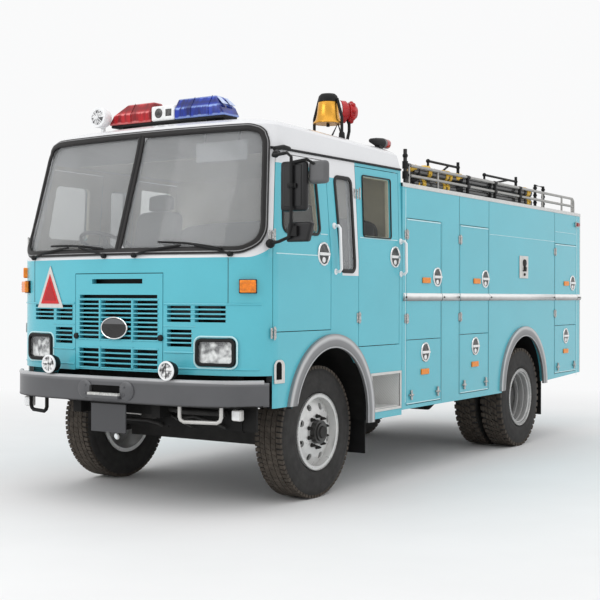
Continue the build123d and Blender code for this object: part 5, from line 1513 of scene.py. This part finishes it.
# ------------------------------------------------------------------ cab inside
def cushion(name, x0, x1, s0, s1, z0, z1, lean=0.0):
    b = Build()
    n = 5
    vs, idx = [], {}
    for i in range(n):
        for j in range(n):
            for k in range(n):
                if 0 < i < n - 1 and 0 < j < n - 1 and 0 < k < n - 1:
                    continue
                u, v, w = i / (n - 1), j / (n - 1), k / (n - 1)
                idx[(i, j, k)] = len(vs)
                puff = 0.018 * math.sin(math.pi * u) * math.sin(math.pi * v)
                z = z0 + (z1 - z0) * w + (puff if w > 0.5 else 0)
                vs.append(P(x0 + (x1 - x0) * u, s0 + (s1 - s0) * v + lean * w, z))
    fs = []
    for a in range(n - 1):
        for c in range(n - 1):
            for q in (0, n - 1):
                fs.append([idx[(q, a, c)], idx[(q, a + 1, c)], idx[(q, a + 1, c + 1)], idx[(q, a, c + 1)]])
                fs.append([idx[(a, q, c)], idx[(a + 1, q, c)], idx[(a + 1, q, c + 1)], idx[(a, q, c + 1)]])
                fs.append([idx[(a, c, q)], idx[(a + 1, c, q)], idx[(a + 1, c + 1, q)], idx[(a, c + 1, q)]])
    b.add(vs, fs)
    ob = b.make(name, "seat", angle=180, subsurf=2, slot="seat_cover")
    return ob


rep = None
for nm, sx in SIDES:
    x0, x1 = sorted((sx * 0.47, sx * 0.93))
    c = cushion(f"seat_base_{nm}", x0, x1, -0.30, 0.225, 1.66, 1.80)
    if rep is None:
        rep = c
    cushion(f"seat_back_{nm}", x0, x1, 0.205, 0.315, 1.78, 2.30, 0.09)
    cushion(f"seat_head_{nm}", x0 + 0.11, x1 - 0.11, 0.322, 0.395, 2.315, 2.445, 0.01)
    Build().box(x0 + 0.04, x1 - 0.04, -0.25, 0.20, 1.29, 1.665).make(f"seat_box_{nm}", "dash", bevel=0.01)
cushion("bench_base", -1.06, 1.06, 0.70, 1.13, 1.495, 1.62)
cushion("bench_back", -1.06, 1.06, 1.005, 1.105, 1.63, 2.24, 0.035)
Build().box(-1.04, 1.04, 0.76, 1.14, 1.145, 1.50).make("bench_box", "dash", bevel=0.01)
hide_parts("cab_seats")
# lining of the roof and rear wall
Build().box(-1.02, 1.02, -0.35, 1.12, 2.648, 2.654).make("head_lining", "cream")

vs = Build().box(0.400, 0.880, -0.556, -0.544, 2.585, 2.735)
vs.make("sun_visor", "visor", bevel=0.005)
vs = Build()
for x in (0.48, 0.80):
    vs.tube([P(x, -0.550, 2.732), P(x, -0.535, 2.790), P(x, -0.500, 2.835)], 0.006, 8)
vs.make("sun_visor_arms", "black")

# ------------------------------------------------------------------ tail: ladder, lamps, plates
b = Build()
for x in (-0.52, -0.18):
    b.tube([P(x, 5.700, 0.86), P(x, 5.712, 0.86), P(x, 5.712, 2.60), P(x, 5.650, 2.66), P(x, 5.560, 2.66), P(x, 5.560, 2.54)], 0.011, 10)
for k in range(6):
    b.tube([P(-0.52, 5.712, 0.98 + 0.29 * k), P(-0.18, 5.712, 0.98 + 0.29 * k)], 0.010, 10)
b.make("rear_ladder", "rail", slot="rail_grey")
for nm, sx in SIDES:
    Build().box(sx * 0.93, sx * 1.15, 5.699, 5.712, 0.80, 0.92).make(f"tail_lamp_base_{nm}", "black", bevel=0.004)
    Build().box(sx * 1.085, sx * 1.145, 5.711, 5.722, 0.807, 0.913).make(f"tail_lamp_amber_{nm}", "amber", bevel=0.004)
    Build().box(sx * 1.010, sx * 1.080, 5.711, 5.722, 0.807, 0.913).make(f"tail_lamp_red_{nm}", "redlens", bevel=0.004)
    Build().box(sx * 0.937, sx * 1.005, 5.711, 5.722, 0.807, 0.913).make(f"tail_lamp_white_{nm}", "clear", bevel=0.004)
    Build().box(sx * 1.02, sx * 1.14, 5.699, 5.712, 2.36, 2.44).make(f"tail_high_base_{nm}", "black", bevel=0.004)
    Build().lathe(P(sx * 1.08, 5.711, 2.40), (0, 1, 0), [(0, 0.034), (0.010, 0.030)], 24).make(f"tail_high_lens_{nm}", "redlens")
    Build().box(sx * 1.196, sx * 1.229, 5.685, 5.704, 0.70, 2.54).make(f"tail_corner_{nm}", "angle", bevel=0.004)
    b = Build()
    b.tube([P(sx * 1.15, 5.700, 1.25), P(sx * 1.15, 5.713, 1.25), P(sx * 1.15, 5.713, 1.75), P(sx * 1.15, 5.700, 1.75)], 0.010, 10)
    b.make(f"tail_grab_{nm}", "wtube")
Build().box(-1.18, 1.18, 5.700, 5.714, STRIP_Z0, STRIP_Z1).make("tail_rub_strip", "strip", bevel=0.006, seg=3)
Build().box(0.15, 0.69, 5.700, 5.706, 0.82, 0.94).make("tail_plate_blank", "panel", bevel=0.002)
b = Build()
for x in (0.02, 0.86):
    b.box(x - 0.0025, x + 0.0025, 5.700, 5.7012, 1.0, 2.46)
for z in (1.0, 2.46):
    b.box(0.02, 0.86, 5.700, 5.7012, z - 0.0025, z + 0.0025)
b.make("tail_panel_seams", "seam")

# ------------------------------------------------------------------ stage, light, camera
WORLD = (0.955, 0.957, 0.96)
m, nt, out = new_mat("studio_floor")
g = G(nt)
x, y = g.coord(0), g.coord(1)
r = g.math("SQRT", g.math("ADD", g.math("MULTIPLY", x, x), g.math("MULTIPLY", y, y)))
col = g.mix(g.remap(g.noise(0.8, 3.0), 0.3, 0.7, 0.0, 1.0), rgba((0.80, 0.80, 0.80)), rgba((0.83, 0.83, 0.83)))
d = shade(g, None, col, 0.75, 0.0)
em = g.new("ShaderNodeEmission")
em.inputs[0].default_value = rgba(WORLD)
em.inputs[1].default_value = 1.0
mx = g.new("ShaderNodeMixShader")
g.put(mx.inputs[0], g.remap(r, 4.6, 9.5, 0.0, 1.0))
g.link(d, mx.inputs[1])
g.link(em.outputs[0], mx.inputs[2])
g.link(mx.outputs[0], out.inputs["Surface"])
me = bpy.data.meshes.new("floor")
me.from_pydata([(-120, -120, 0), (120, -120, 0), (120, 120, 0), (-120, 120, 0)], [], [(0, 1, 2, 3)])
floor = bpy.data.objects.new("floor", me)
me.materials.append(m)
bpy.context.collection.objects.link(floor)

w = bpy.data.worlds.new("studio")
bpy.context.scene.world = w
w.use_nodes = True
bg = w.node_tree.nodes["Background"]
bg.inputs[0].default_value = rgba(WORLD)
bg.inputs[1].default_value = 1.0


def area(name, loc, target, size, power, size_y=None):
    li = bpy.data.lights.new(name, "AREA")
    li.energy = power
    li.size = size
    if size_y:
        li.shape = "RECTANGLE"
        li.size_y = size_y
    ob = bpy.data.objects.new(name, li)
    bpy.context.collection.objects.link(ob)
    ob.location = loc
    ob.rotation_euler = (Vector(target) - Vector(loc)).to_track_quat("-Z", "Y").to_euler()
    return ob


area("top_soft", (1.5, -2.0, 9.0), (0, 0, 1.2), 9.0, 150, 9.0)
area("key_front", (-2.5, -10.0, 5.5), (0, -2.0, 1.6), 5.0, 150, 4.0)
area("side_fill", (10.0, -1.5, 5.0), (1.0, 0.5, 1.5), 6.0, 50, 4.0)

cam = bpy.data.cameras.new("camera")
cam.lens = 69.944
cam.sensor_width = 36.0
cam.sensor_fit = "HORIZONTAL"
cam.clip_end = 400.0
co = bpy.data.objects.new("camera", cam)
bpy.context.collection.objects.link(co)
a, p, roll = 0.5738, -0.0034, 0.0029
view_dir = Vector((-math.sin(a) * math.cos(p), math.cos(a) * math.cos(p), math.sin(p)))
rot = view_dir.to_track_quat("-Z", "Y").to_matrix().to_4x4()
rot = rot @ Matrix.Rotation(roll, 4, "Z")
co.matrix_world = Matrix.Translation(Vector((5.9067, -9.8853, 1.5724))) @ rot
bpy.context.scene.camera = co
bpy.context.scene.view_settings.view_transform = "Standard"
bpy.context.scene.view_settings.look = "None"
